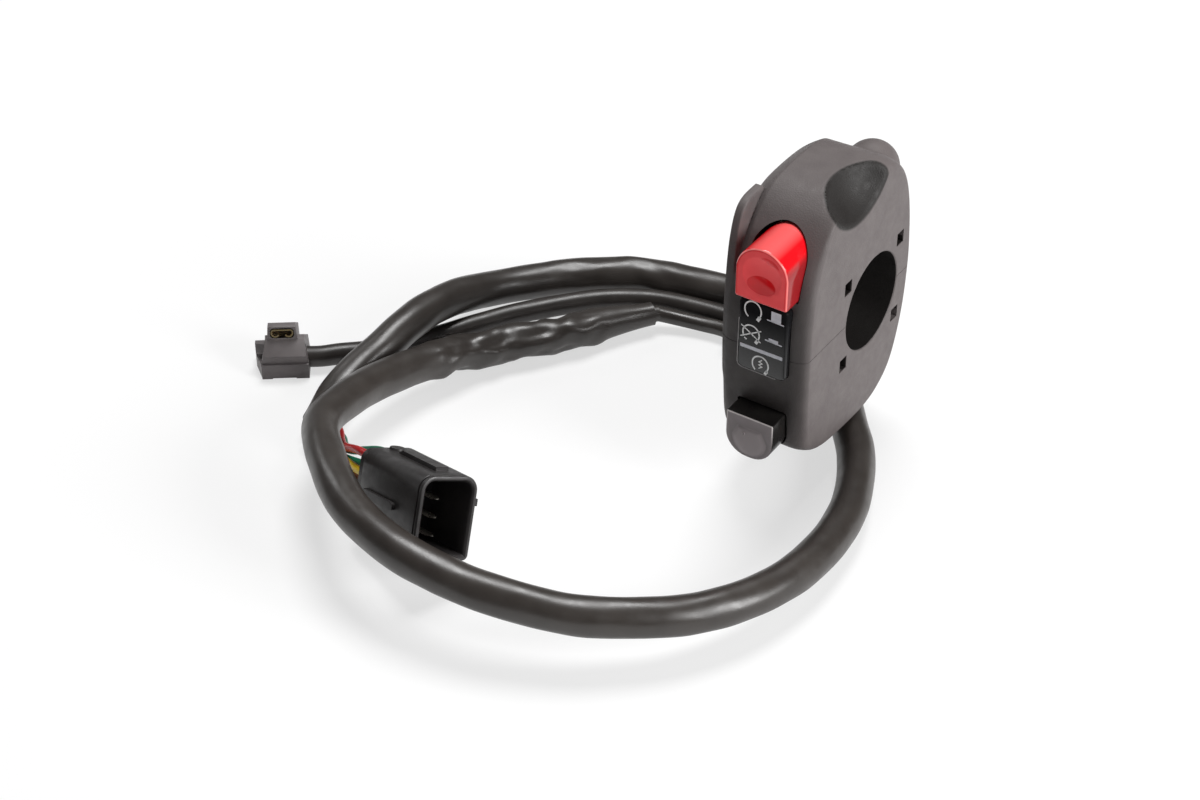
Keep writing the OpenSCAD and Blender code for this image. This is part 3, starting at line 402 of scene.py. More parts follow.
ways = [(i - 0.5, j - 1.5) for i in range(2) for j in range(4)]
way_places = [(column * PITCH_Y, row * PITCH_Z) for column, row in ways]
way_colours = ["black", "blue", "yellow", "red", "black", "brown", "green", "green"]
wires = []
for number, ((column, row), colour) in enumerate(zip(ways, way_colours)):
    wires.append(make_cord("plug_wire_%d" % (number + 1), wire_points(column, row), WIRE_D,
                           wire_finishes[colour], step_mm=0.8, sides=16, seed=float(number)))

# %% [markdown]
# The housing is the main form. Seen along the bar it is an upright shape with a flat front, and its skin bends
# in towards both ends. Every outline goes once round the bar, so the whole skin is one grid: an angle round the
# bar, and a place along a profile that climbs from the bore over the flat face, round the edge and down the far
# side.
# %% Outlines of the housing
WIDTH = 21.5
SIDE = dict(front=27, rear=16.6, top=32, bottom=28.4)
CROWN = dict(front=1.6, rear=2, top=1.2, bottom=0.5)
FAR_FALL = dict(front=4.4, rear=2.4, top=4.6, bottom=2)
side_shares = [
    (1, 0), (0.99, 0.25), (0.95, 0.5), (0.89, 0.66), (0.81, 0.81), (0.67, 0.93), (0.4, 1), (-0.22, 0.95),
    (-0.52, 0.9), (-0.74, 0.76), (-0.88, 0.56), (-0.97, 0.28), (-1, 0), (-0.93, -0.4), (-0.72, -0.76),
    (-0.42, -0.93), (0, -1), (0.42, -0.99), (0.7, -0.95), (0.88, -0.86), (0.95, -0.74), (0.985, -0.4)]
mid_shares = [
    (1, 0), (1, 0.24), (0.955, 0.44), (0.87, 0.65), (0.77, 0.79), (0.61, 0.92), (0.38, 0.99), (-0.15, 0.985),
    (-0.5, 0.9)] + side_shares[9:]
rim_shares = [(0.7, -0.5), (0.95, -0.4), (1, -0.15), (1, 0.26), (0.98, 0.58), (0.945, 0.78), (0.88, 0.93),
              (0.775, 0.99), (0.58, 1)]


def scaled(shares, reach):
    return [(p * (reach["front"] if p > 0 else reach["rear"]), q * (reach["top"] if q > 0 else reach["bottom"]))
            for p, q in shares]


def polar(points, angles, closed=True):
    """Distance from the bar's axis to a smooth curve through the points, at each angle."""
    p = np.array(points, float)
    ext = np.vstack([p[-1:], p, p[:2]]) if closed else np.vstack([2 * p[0] - p[1], p, 2 * p[-1] - p[-2]])
    dense = []
    for a, b, c, d in zip(ext, ext[1:], ext[2:], ext[3:]):
        dense.append(cubic(a, b, c, d, np.linspace(0, 1, 30, endpoint=False)[:, None]))
    dense = np.vstack(dense)
    turn, reach = np.arctan2(dense[:, 1], dense[:, 0]), np.hypot(dense[:, 0], dense[:, 1])
    order = np.argsort(turn)
    if closed:
        return np.interp(angles, turn[order], reach[order], period=2 * math.pi)
    return np.interp(angles, turn[order], reach[order], left=0, right=0)


# %% [markdown]
# Where two forms meet, a soft maximum or minimum blends them over a small distance, as a moulded part blends
# them with a radius. The hump behind the ridge is a ball that swells out, and the thumb scoop beside the ridge
# is a ball that is taken away. The rim near the far side has an outline of its own between two places along
# the bar.
# %% Skin as a distance from the bar
def soft_max(a, b, k):
    return 0.5 * (a + b + np.sqrt((a - b) ** 2 + k * k))


def soft_min(a, b, k):
    return 0.5 * (a + b - np.sqrt((a - b) ** 2 + k * k))


def ball(angles, x, centre, radius, far):
    """Distance along each direction to a ball's far or near side, or a neutral value where it is missed."""
    toward = centre[1] * np.cos(angles) + centre[2] * np.sin(angles)
    flat = radius ** 2 - (x - centre[0]) ** 2
    inside = flat - (centre[1] ** 2 + centre[2] ** 2 - toward ** 2)
    hit = toward + (1 if far else -1) * np.sqrt(np.maximum(inside, 0))
    return np.where((inside > 0) & (toward > 0), hit, 0 if far else 99)


EDGE_W = 4.5
HUMP, HUMP_R = (-8.7, -12.8, 23.9), 5.9
SCOOP, SCOOP_R = (7.8, 8, 37.8), 15.3
RIM_FRONT, RIM_TOP, RIM_FROM, RIM_TO = 27.4, 31, 18.15, 20.95


def skin(angles, x):
    inner = min(1.0, -x / EDGE_W)
    swell = 1 - (1 - inner) ** 2.5
    outer = min(1.0, (x + WIDTH) / EDGE_W)
    fall, top_fall = (1 - outer) ** 3.1, 1 - 0.9 * outer ** 0.72
    if outer >= 1:
        top_fall = 0.1 * max(0, -x / EDGE_W - 1) / (WIDTH / EDGE_W - 2)
    shares = [((1 - swell) * a[0] + swell * b[0], (1 - swell) * a[1] + swell * b[1])
              for a, b in zip(side_shares, mid_shares)]
    reach = {k: SIDE[k] + swell * CROWN[k] - (top_fall if k == "top" else fall) * FAR_FALL[k] for k in SIDE}
    r = polar(scaled(shares, reach), angles)
    rim = polar([(RIM_FRONT * p, RIM_TOP * q) for p, q in rim_shares], angles, closed=False)
    rise = np.clip((x + RIM_TO) / 0.8, 0, 1) ** 0.5 * 0.06 + 0.94
    step = 1 / (1 + math.exp((x + RIM_FROM) * 9)) / (1 + math.exp(-(x + RIM_TO) * 14))
    r = soft_max(r, np.where(rim > 0, r - 2.5 + (rim * rise - r + 2.5) * step, 0), 0.35)
    r = soft_max(r, ball(angles, x, HUMP, HUMP_R, True), 0.7)
    r = soft_min(r, ball(angles, x, SCOOP, SCOOP_R, False), 0.5)
    return r


# %% [markdown]
# The grid has more lines where the form turns quickly: at both edges, at the rim's step, and on each side of
# the seam. The profile's ends join through the bore with a small chamfer, so the grid is a closed body.
# %% Grid of the housing
BORE_R = 11.1
angles = np.radians(np.linspace(-180, 180, 361)[:-1])
stations = np.concatenate([
    -np.array([0, 0.03, 0.12, 0.27, 0.47, 0.7, 1.0, 1.35]), np.linspace(-1.8, -16.6, 34),
    np.linspace(-17, -19, 15),
    -np.array([19.4, 19.8, 20.2, 20.45, 20.65, 20.8, 20.95, 21.1, 21.25, 21.37, 21.45, 21.5])])


def edge_round(x):
    """How far the edge's radius takes the skin in at a place along the bar."""
    near, far = 0.9, 1.0
    drop = 0.0
    if -x < near:
        drop += near - math.sqrt(max(near ** 2 - (near + x) ** 2, 0))
    if x + WIDTH < far:
        drop += far - math.sqrt(max(far ** 2 - (far - x - WIDTH) ** 2, 0))
    return drop


skin_rows = [(x, skin(angles, x) - edge_round(x)) for x in stations]
first, last = skin_rows[0][1], skin_rows[-1][1]
chamfer = 0.2
near_face = [(0.0, BORE_R + chamfer + (first - BORE_R - chamfer) * t) for t in np.linspace(0, 1, 10)[:-1]]
far_face = [(-WIDTH, last + (BORE_R + chamfer - last) * t) for t in np.linspace(0, 1, 10)[1:]]
bore = [(-x, np.full_like(angles, BORE_R)) for x in np.linspace(WIDTH - chamfer, chamfer, 6)]
rows = near_face + skin_rows + far_face + bore


def grid_body(name, rows, angles):
    points, faces, n = [], [], len(angles)
    for x, r in rows:
        points += [(x, -r_k * math.cos(a), r_k * math.sin(a)) for r_k, a in zip(r, angles)]
    for i in range(len(rows)):
        for k in range(n):
            a, b = i * n + k, i * n + (k + 1) % n
            c, d = ((i + 1) % len(rows)) * n + (k + 1) % n, ((i + 1) % len(rows)) * n + k
            faces.append((a, b, c, d))
    return body(name, points, faces)


def body(name, points, faces):
    """A mesh object from points in millimetres, with its faces turned outward."""
    mesh = bpy.data.meshes.new(name)
    mesh.from_pydata(metres(points), [], faces)
    work = bmesh.new()
    work.from_mesh(mesh)
    bmesh.ops.recalc_face_normals(work, faces=work.faces)
    work.to_mesh(mesh)
    work.free()
    return in_scene(name, mesh)


form = grid_body("housing_form", rows, angles)
print("housing form", len(form.data.polygons), "faces")

# %% [markdown]
# Openings are cut with exact Booleans, each from a closed cutter. A cutter drawn as an outline and pulled
# through the front can have several rings, and a wider last ring leaves a small chamfer round the opening.
# These few makers of closed bodies serve for the cutters and for most of the finer pieces that follow.
# %% Cutters
def loft(name, outlines):
    """A closed body from outlines of equal length."""
    n = len(outlines[0])
    points = [p for outline in outlines for p in outline]
    faces = [tuple(range(n)), tuple(reversed(range((len(outlines) - 1) * n, len(outlines) * n)))]
    for i in range(len(outlines) - 1):
        faces += [(i * n + k, i * n + (k + 1) % n, (i + 1) * n + (k + 1) % n, (i + 1) * n + k)
                  for k in range(n)]
    return body(name, points, faces)


def cylinder(name, start, end, radius, end_radius=None, sides=48):
    start, end = Vector(start), Vector(end)
    along = (end - start).normalized()
    across = along.orthogonal().normalized()
    over = along.cross(across)
    turns = [2 * math.pi * k / sides for k in range(sides)]
    return loft(name, [[tuple(p + r * (math.cos(t) * across + math.sin(t) * over)) for t in turns]
                       for p, r in ((start, radius), (end, radius if end_radius is None else end_radius))])


def globe(name, centre, radius, rings=40, sides=80):
    """A closed ball, from rings of points round the X axis."""
    turns = np.linspace(0, 2 * math.pi, sides, endpoint=False)
    return loft(name, [[tuple(centre + radius * Vector((math.cos(a), math.sin(a) * math.cos(t),
                                                        math.sin(a) * math.sin(t)))) for t in turns]
                       for a in np.linspace(0.02, math.pi - 0.02, rings)])


def pulled(name, outline, axis, low, high):
    """A flat outline pulled straight from low to high along the X (0), Y (1) or Z (2) axis."""
    return loft(name, [[(*p[:axis], stop, *p[axis:]) for p in outline] for stop in (low, high)])


def box(name, low, high):
    (a, b, c), (d, e, f) = low, high
    return pulled(name, [(b, c), (e, c), (e, f), (b, f)], 0, a, d)


def carve(obj, cutter, operation="DIFFERENCE"):
    modifier = obj.modifiers.new("cut", "BOOLEAN")
    modifier.operation = operation
    modifier.solver = "EXACT"
    modifier.object = cutter
    plain(obj)
    bpy.data.objects.remove(cutter)
    return obj


def smooth_by_angle(obj, degrees):
    """Smooth shading, but with a sharp edge wherever two faces meet at more than an angle."""
    for polygon in obj.data.polygons:
        polygon.use_smooth = True
    obj.data.set_sharp_from_angle(angle=math.radians(degrees))


# %% [markdown]
# The knob, the button and the legend plate are outlines in the plane of the front, with X along the bar and Z
# up. The same outline, grown by a gap, cuts the opening that the piece sits in, so the gap is even all round.
# %% Outlines of the controls
def corner_arc(centre, radius, start, end, steps=8):
    turns = [math.radians(start + (end - start) * k / steps) for k in range(steps + 1)]
    return [(centre[0] + radius * math.cos(t), centre[1] + radius * math.sin(t)) for t in turns]


def rounded(w, h, top_r, low_r, centre=(0, 0), steps=8):
    x, z = centre
    return (corner_arc((x + w / 2 - top_r, z + h / 2 - top_r), top_r, 0, 90, steps)
            + corner_arc((x - w / 2 + top_r, z + h / 2 - top_r), top_r, 90, 180, steps)
            + corner_arc((x - w / 2 + low_r, z - h / 2 + low_r), low_r, 180, 270, steps)
            + corner_arc((x + w / 2 - low_r, z - h / 2 + low_r), low_r, 270, 360, steps))


def edge_points(start, end, count=14):
    """Points between two corners, so that a face beside a long straight edge can still curve."""
    return [tuple(a + (b - a) * k / count for a, b in zip(start, end)) for k in range(1, count)]


def arch(gap, foot_r=0.25):
    """The knob's outline, grown by a gap: an arch on a flat foot with small corners."""
    r = KNOB_W / 2 + gap
    z = KNOB_BOTTOM + KNOB_H - KNOB_W / 2
    foot = KNOB_BOTTOM - gap
    left, right = -KNOB_IN - r, -KNOB_IN + r
    foot_r = min(foot_r, r)
    return (corner_arc((-KNOB_IN, z), r, 0, 180, 28) + edge_points((left, z), (left, foot + foot_r))
            + corner_arc((left + foot_r, foot + foot_r), foot_r, 180, 270, 4)
            + edge_points((left + foot_r, foot), (right - foot_r, foot))
            + corner_arc((right - foot_r, foot + foot_r), foot_r, 270, 360, 4)
            + edge_points((right, foot + foot_r), (right, z)))


def at_reach(outline, reach):
    return [(x, -reach, z) for x, z in outline]


KNOB_IN, KNOB_BOTTOM, KNOB_W, KNOB_H, KNOB_AXIS = 9.2, 14.2, 12.2, 13, 20.63
BUTTON_IN, BUTTON_MID, BUTTON_W, BUTTON_H, BUTTON_R = 9.8, -19.6, 11.2, 10.4, 5
LEGEND_IN, LEGEND_MID, LEGEND_W, LEGEND_H, LEGEND_R = 9.5, 4.0, 11.6, 17.6, 1.4


def button_ring(gap, reach):
    return at_reach(rounded(BUTTON_W + 2 * gap, BUTTON_H + 2 * gap, max(0.3 + gap, 0.12), BUTTON_R + gap,
                            (-BUTTON_IN, BUTTON_MID)), reach)


def legend_ring(gap, reach):
    return at_reach(rounded(LEGEND_W + 2 * gap, LEGEND_H + 2 * gap, LEGEND_R + gap, LEGEND_R + gap,
                            (-LEGEND_IN, LEGEND_MID)), reach)


# %% [markdown]
# Both shells share the cuts of the side face, and the hollow leaves a wall of 2.2 mm all round, a half tube
# round the bar and a post for each case screw, so the inside is that of a moulded shell.
# %% Hollow and shared cuts
WALL = 2.2
hollow_reach = {k: SIDE[k] + (CROWN[k] / 2 if k in ("front", "rear") else 0) - WALL for k in SIDE}
hollow_line = [(-f, z) for f, z in scaled(side_shares, hollow_reach)]
hollow = pulled("hollow", hollow_line, 0, -WIDTH + WALL, -WALL)
carve(hollow, cylinder("tube", (1, 0, 0), (-WIDTH - 1, 0, 0), BORE_R + WALL, sides=96))
SCREW_PLACES = [(-18.45, -18.6, -16.5), (-4.4, 15.2, -14)]
for x, y, seat in SCREW_PLACES:
    carve(hollow, cylinder("boss", (x, y, -40), (x, y, 25 + seat + WALL), 3))
carve(hollow, globe("scoop_wall", Vector((SCOOP[0], -SCOOP[1], SCOOP[2])), SCOOP_R + WALL))
for y in (-11.35, 11.35):
    for z in (-9.8, 9.8):
        carve(form, box("key", (-1.5, y - 1.45, z - 1.6), (1, y + 1.45, z + 1.6)))
carve(form, loft("legend_seat", [legend_ring(g, reach) for reach, g in ((27.3, 0.1), (28.45, 0.1), (31, 0.9))]))
carve(form, hollow)
print("hollow cut", len(form.data.polygons), "faces")

# %% [markdown]
# The two shells meet in the plane of the bar. A thin frame round that plane takes a narrow groove out of both,
# the shadow line that shows where they part.
# %% Two shells
at_seam = [(x, float(np.interp(0.0, angles, r)), float(r[0])) for x, r in skin_rows]
inset, groove = 0.14, 0.07
groove_line = ([(x - inset if i == 0 else x, -(f - inset)) for i, (x, f, b) in enumerate(at_seam)]
               + [(x, b - inset) for x, f, b in reversed(at_seam)])
groove_line = [(min(-groove, max(x, -WIDTH + inset)), y) for x, y in groove_line]
frame_cut = pulled("seam_frame", [(4, -45), (4, 45), (-26, 45), (-26, -45)], 2, -groove, groove)
carve(frame_cut, pulled("seam_core", groove_line, 2, -1, 1))
carve(form, frame_cut)
upper = form.copy()
upper.data = form.data.copy()
bpy.context.scene.collection.objects.link(upper)
lower = form
upper.name, lower.name = "upper_shell", "lower_shell"
carve(upper, box("above", (-30, -50, 0), (10, 40, 50)), "INTERSECT")
carve(lower, box("below", (-30, -50, -50), (10, 40, 0)), "INTERSECT")
carve(upper, loft("knob_window", [[(x - 0.3, y, z + 0.2) for x, y, z in at_reach(arch(g), reach)]
                                  for reach, g in ((14, 0.45), (28.4, 0.5), (29.4, 0.85), (34, 0.9))]))
carve(lower, loft("button_window", [button_ring(g, reach) for reach, g in
                                    ((16, 0.35), (28.0, 0.35), (29.2, 0.75), (36, 0.75))]))
print("shells", len(upper.data.polygons), len(lower.data.polygons))

# %% [markdown]
# Under the lower shell a short outlet turns the harness to the front. It flares where it joins the shell and
# runs up behind it as a round boss that closes over the seat of the tie. The case screws' heads sit in deep
# round seats beside it.
# %% Outlet and screw seats
OUTLET = Vector((-13, 11.5, -32.2))
out_turn = math.radians(-50.8)
out_way = Vector((math.cos(out_turn), math.sin(out_turn), 0))
outlet_profile = [(6, -38), (6, -29.5), (6.3, -27.5), (6.8, -25.5), (7, -23.5), (6.8, -21.5), (6.4, -19),
                  (6.1, -17), (5.7, -15.5), (4.9, -14.4), (3.9, -13.8)]
outlet = loft("outlet", [[(OUTLET.x + r * math.cos(t), OUTLET.y + r * math.sin(t), z)
                          for t in np.linspace(0, 2 * math.pi, 64, endpoint=False)] for r, z in outlet_profile])
carve(lower, outlet, "UNION")
carve(lower, cylinder("duct", OUTLET, OUTLET + Vector((0, 0, 19)), 3.2))
carve(lower, cylinder("tie_seat", OUTLET + Vector((0, 0, 14.5)), OUTLET + Vector((0, 0, 17.2)), 4))
carve(lower, cylinder("mouth", OUTLET, OUTLET + 12 * out_way, 5.16))
for x, y, seat in SCREW_PLACES:
    carve(lower, cylinder("screw_way", (x, y, seat - 0.1), (x, y, 2), 1.6))
    carve(lower, cylinder("screw_seat", (x, y, -38.5), (x, y, seat), 2.4))
    carve(upper, cylinder("insert_way", (x, y, -1), (x, y, 25 + seat - 0.4), 1.83))
for shell in (upper, lower):
    smooth_by_angle(shell, 32)
print("shells", len(upper.data.polygons), len(lower.data.polygons))

# %% [markdown]
# The housing is glass-filled nylon: nearly black with a warm cast, matt, with a fine even grain from the mould
# that scatters light and makes lit faces look grey. Painted shade darkens the scoop, the inside, the bore and
# its pockets, and the front round the controls, which darkens towards the reach of its crown. The material
# tells these places by their distance from the middle of the scoop's ball, from the bore's axis and from the
# plane of the axis, which keeps the borders clean.
# %% Finish of the housing
def away_from(material, centre, stretch=(1, 1, 1)):
    """Distance in millimetres from a point, or with shares of 0 in the stretch from a line or a plane."""
    tree = material.node_tree
    mapping = new_node(tree, "ShaderNodeMapping", {
        "Scale": [s / MM for s in stretch], "Location": [-c for c in centre],
        "Vector": new_node(tree, "ShaderNodeTexCoord").outputs["Object"]})
    return new_node(tree, "ShaderNodeVectorMath", {0: mapping.outputs["Vector"]},
                    operation="LENGTH").outputs["Value"]


def value_node(material, operation, a, b=0.0):
    return math_node(material.node_tree, operation, a, b)


housing_plastic = finish("housing_plastic", (0.108, 0.093, 0.092), (0.124, 0.108, 0.106), (0.5, 0.6), 0.32,
                         0.06, patch_mm=5, specular=0.3)
# Painted shade: the scoop, the bore with its pockets and the front towards its crown are mixed towards a
# near-black colour.
from_scoop = away_from(housing_plastic, (SCOOP[0], -SCOOP[1], SCOOP[2]))
scoop_gap = value_node(housing_plastic, "ABSOLUTE",
                       value_node(housing_plastic, "SUBTRACT", from_scoop, SCOOP_R))
scoop_painted_shade = between(housing_plastic, scoop_gap, 1, 0, 0.3, 0.75)
from_bar, inside_r = away_from(housing_plastic, (0, 0, 0), (0, 1, 1)), 16
bore_painted_shade = between(housing_plastic, from_bar, 1, 0, inside_r - 0.1, inside_r)
from_middle, half = away_from(housing_plastic, (-WIDTH / 2, 0, 0), (1, 0, 0)), WIDTH / 2
between_sides = between(housing_plastic, from_middle, 1, 0, half - 0.25, half - 0.15)
back_plane, crown_starts, crown_ends = 20, 25.5, 28
forward = away_from(housing_plastic, (0, back_plane, 0), (0, 1, 0))
front_painted_shade = between(housing_plastic, forward, 0, 0.72, back_plane + crown_starts, back_plane + crown_ends)
painted_shade = value_node(housing_plastic, "MULTIPLY", bore_painted_shade, between_sides)
for share in (scoop_painted_shade, front_painted_shade):
    painted_shade = value_node(housing_plastic, "MAXIMUM", painted_shade, share)
base = shader_of(housing_plastic).inputs["Base Color"]
link(housing_plastic, painted(housing_plastic, painted_shade, base.links[0].from_socket, (0.015, 0.013, 0.012)), base)

# %% [markdown]
# Every modelled piece is dressed in the same way: it gets its material, the body that it rides on and the solid
# that it replaces, if any. Most pieces ride on the cluster, and
# only the two that are pushed have bodies of their own.
# %% Dressing a piece
def belongs(obj, node, body_name="cluster"):
    """Name the body that a piece rides on, the solid that it replaces, if any."""
    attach(obj, body_name)
    if node:
        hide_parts(node)
    return obj


def dress(obj, node, body_name, material):
    obj.data.materials.clear()
    obj.data.materials.append(material)
    return belongs(obj, node, body_name)


dress(upper, "upper_housing", "cluster", housing_plastic)
dress(lower, "lower_housing", "cluster", housing_plastic)
print("housing dressed in", housing_plastic.name)

# %% [markdown]
# The kill knob is a glossy red push piece: an arch on a flat foot. Light catches its small edge radius as a
# thin bright line, and its front has a shallow thumb dish, so the rings of the loft turn in over the edge and
# then sink towards the middle.
# %% Kill knob
def inside_arch(x, z):
    """How far a point of the front lies inside the knob's outline."""
    middle = KNOB_BOTTOM + KNOB_H - KNOB_W / 2
    if z > middle:
        return KNOB_W / 2 - math.hypot(x + KNOB_IN, z - middle)
    return min(KNOB_W / 2 - abs(x + KNOB_IN), z - KNOB_BOTTOM)


DISH, DISH_R, DISH_DEPTH = (-9.1, 20.8), 4.5, 0.62
knob_rings = [(0.35, 19.5), (0.12, 19.6), (0, 19.9), (0, 22), (0, 25), (0, 28), (0, 31.35), (0.03, 31.6),
              (0.1, 31.78), (0.22, 31.92), (0.38, 31.99), (0.52, 32)]
knob_rings += [(g, 32) for g in np.linspace(0.8, 5.9, 26)]
rings = []
for g, reach in knob_rings:
    rings.append([])
    for x, y, z in at_reach(arch(-g, foot_r=0.45), reach):
        away = math.hypot(x - DISH[0], z - DISH[1]) / DISH_R
        rings[-1].append((x, y + (DISH_DEPTH * max(0, 1 - away * away) if g > 0.5 and reach > 31 else 0), z))
knob = loft("knob_shell", rings)
RECESS_R, PIN_HOLE_R = 3.35, 1.23
carve(knob, cylinder("knob_recess", (-KNOB_IN, -22.5, KNOB_AXIS), (-KNOB_IN, -18, KNOB_AXIS), RECESS_R))
carve(knob, cylinder("knob_pin_hole", (-KNOB_IN, -25.6, KNOB_AXIS), (-KNOB_IN, -20, KNOB_AXIS), PIN_HOLE_R))
smooth_by_angle(knob, 40)
print("knob", len(knob.data.polygons), "faces")

# %% [markdown]
# Its finish is a saturated red with a polished skin. On the front the skin is satin, and its paler red is a
# painted sheen, apart from a polished oval low in the dish and a short arc above it, which keep the deeper red
# as a painted dark reflection and a painted shade. Both are drawn as distances in the knob's own coordinates.
# The paler red of the arch's top and of the front's edge is a painted highlight, and the darker red of its
# flank is painted shade. The loft's rings are close enough together to store these places as marks, numbers at
# the points of the mesh that the material can read.
# %% Finish of the knob
def mark(obj, name, rule):
    """Store a number from 0 to 1 at each point of a mesh, from a rule on its place in millimetres."""
    values = [float(min(1, max(0, rule(v.co / MM)))) for v in obj.data.vertices]
    obj.data.attributes.new(name, "FLOAT", "POINT").data.foreach_set("value", values)


def marked(material, name):
    return new_node(material.node_tree, "ShaderNodeAttribute", attribute_name=name).outputs["Fac"]


def coordinates(material):
    place = new_node(material.node_tree, "ShaderNodeTexCoord").outputs["Object"]
    return new_node(material.node_tree, "ShaderNodeSeparateXYZ", {"Vector": place}).outputs


def oval(material, axes, centre, radii, soft):
    """1 inside an oval in the X and Z of the piece, 0 outside, with a soft border."""
    parts = []
    for axis, middle, radius in zip((axes["X"], axes["Z"]), centre, radii):
        offset = value_node(material, "SUBTRACT", axis, middle * MM)
        offset = value_node(material, "DIVIDE", offset, radius * MM)
        parts.append(value_node(material, "MULTIPLY", offset, offset))
    distance = value_node(material, "SQRT", value_node(material, "ADD", parts[0], parts[1]))
    return between(material, distance, 1, 0, 1 - soft, 1 + soft)


mark(knob, "satin", lambda p: 0 if p.y > -31.2 else (inside_arch(p.x, p.z) - 0.42) / 0.15)
knob_red = new_material("knob_red")
axes = coordinates(knob_red)
# Painted dark reflection in the low oval and painted shade in the arc: there the front keeps the deeper red and
# stays polished.
low_oval_painted_dark_reflection = oval(knob_red, axes, (-9.25, 18.5), (3.3, 2.0), 0.05)
arc_painted_shade = value_node(knob_red, "MINIMUM", oval(knob_red, axes, (-7.9, 22.7), (2.95, 2.95), 0.05),
                 oval(knob_red, axes, (-4.57, 34.6), (10.7, 10.7), 0.03))
polished_and_painted_dark = value_node(knob_red, "MAXIMUM", low_oval_painted_dark_reflection, arc_painted_shade)
satin = value_node(knob_red, "MULTIPLY", marked(knob_red, "satin"), value_node(knob_red, "SUBTRACT", 1, polished_and_painted_dark))
patch = between(knob_red, noise(knob_red, 3.0, 3), 0, 1)
side_red = painted(knob_red, patch, (0.72, 0.004, 0.009), (0.78, 0.006, 0.012))
# The front's paler red is a painted sheen on the satin face.
front_red_painted_sheen = painted(knob_red, patch, (0.92, 0.058, 0.066), (0.97, 0.070, 0.078))
# Painted shade on the flank, a painted highlight on the arch's top and a painted highlight along the front's
# edge.
mark(knob, "painted_flank_shade", lambda p: (p.x + KNOB_IN - KNOB_W / 2 + 0.9) / 0.7 if p.y > -31.9 else 0)
mark(knob, "painted_top_highlight", lambda p: (p.z - KNOB_BOTTOM - KNOB_H + 1.3) / 1.1 if p.y > -31.9 else 0)
mark(knob, "painted_edge_highlight", lambda p: p.y < -31.7 and 0 < inside_arch(p.x, p.z) < 0.3)
knob_colour = side_red
for share, colour in ((marked(knob_red, "painted_flank_shade"), (0.27, 0.010, 0.013)),
                      (marked(knob_red, "painted_top_highlight"), (0.86, 0.105, 0.105)), (satin, front_red_painted_sheen),
                      (marked(knob_red, "painted_edge_highlight"), (0.90, 0.21, 0.20))):
    knob_colour = painted(knob_red, share, knob_colour, colour)
link(knob_red, knob_colour, shader_of(knob_red).inputs["Base Color"])
link(knob_red, between(knob_red, satin, 0.10, 0.45, 0, 1), shader_of(knob_red).inputs["Roughness"])
shader_of(knob_red).inputs["Specular IOR Level"].default_value = 0.34
link(knob_red, relief(knob_red, noise(knob_red, 0.25, 2), 0.004), shader_of(knob_red).inputs["Normal"])
dress(knob, "kill_knob", "kill_push", knob_red)

# %% [markdown]
# The start button is a black block with two round lower corners. Its front carries a low round boss for the
# thumb, with the small mark that the mould's gate leaves. The flanks are glossy and the front is satin with a
# grey painted sheen, a paler painted highlight on the boss and the palest painted highlight along the front's
# upper and outer edges.
# %% Start button
def disc_ring(outline, radius, reach, centre):
    """The outline's points pulled onto a circle, for a face that turns from the outline into a round boss."""
    ring = []
    for x, y, z in outline:
        a = math.atan2(z - centre[1], x - centre[0])
        ring.append((centre[0] + radius * math.cos(a), -reach, centre[1] + radius * math.sin(a)))
    return ring


button_base = button_ring(0, 30)
boss_at = (-BUTTON_IN + 0.1, BUTTON_MID - 0.6)
edge_rings = [(-0.3, 21), (-0.1, 21.1), (0, 21.3), (0, 24), (0, 27), (0, 30), (0, 32.9), (-0.04, 33.0),
              (-0.13, 33.06), (-0.25, 33.08), (-0.33, 33.08)]
boss_rings = [(4.3, 33.06), (4.05, 33.08), (3.8, 33.14), (3.5, 33.26), (3.1, 33.36), (2.5, 33.43), (1.6, 33.48),
              (0.6, 33.5)]
button = loft("button_shell", [button_ring(g, reach) for g, reach in edge_rings]
              + [disc_ring(button_base, r, reach, boss_at) for r, reach in boss_rings])
carve(button, cylinder("button_recess", (-BUTTON_IN, -24, BUTTON_MID), (-BUTTON_IN, -20, BUTTON_MID), RECESS_R))
carve(button, cylinder("button_pin_hole", (-BUTTON_IN, -27.1, BUTTON_MID), (-BUTTON_IN, -22, BUTTON_MID),
                       PIN_HOLE_R))
gate_rings = [(0.42, 33.2), (0.40, 33.56), (0.34, 33.62), (0.24, 33.64), (0.2, 33.6), (0.08, 33.52)]
gate_circle = [(math.cos(t), 0, math.sin(t)) for t in np.linspace(0, 2 * math.pi, 24, endpoint=False)]
gate = loft("gate", [disc_ring(gate_circle, r, reach, (0, 0)) for r, reach in gate_rings])
gate.data.transform(Matrix.Translation(Vector((-BUTTON_IN - 1.1, 0.04, BUTTON_MID + 0.9)) * MM))
carve(button, gate, "UNION")
smooth_by_angle(button, 40)
button_black = finish("button_black", (0.010, 0.009, 0.009), (0.014, 0.013, 0.012), (0.14, 0.2), 0.3, 0.006,
                      patch_mm=4, specular=0.15)
# Painted sheen: the satin front is painted grey; painted highlights: paler on the boss, palest along the upper
# and outer edges.
mark(button, "satin", lambda p: (-p.y - 32.98) / 0.1)
mark(button, "dome_painted_highlight", lambda p: (-p.y - 33.2) / 0.16)
mark(button, "edge", lambda p: p.y < -32.95 and p.z > BUTTON_MID + 1
     and min(BUTTON_W / 2 - abs(p.x + BUTTON_IN), BUTTON_H / 2 - p.z + BUTTON_MID) < 0.29)
base = shader_of(button_black).inputs["Base Color"]
button_colour = base.links[0].from_socket
for name, colour in (("satin", (0.27, 0.240, 0.245)), ("dome_painted_highlight", (0.315, 0.28, 0.285)),
                     ("edge", (0.62, 0.58, 0.57))):
    button_colour = painted(button_black, marked(button_black, name), button_colour, colour)
link(button_black, button_colour, base)
link(button_black, between(button_black, marked(button_black, "satin"), 0.2, 0.42, 0, 1),
     shader_of(button_black).inputs["Roughness"])
dress(button, "start_button", "start_push", button_black)
print("button", len(button.data.polygons), "faces")

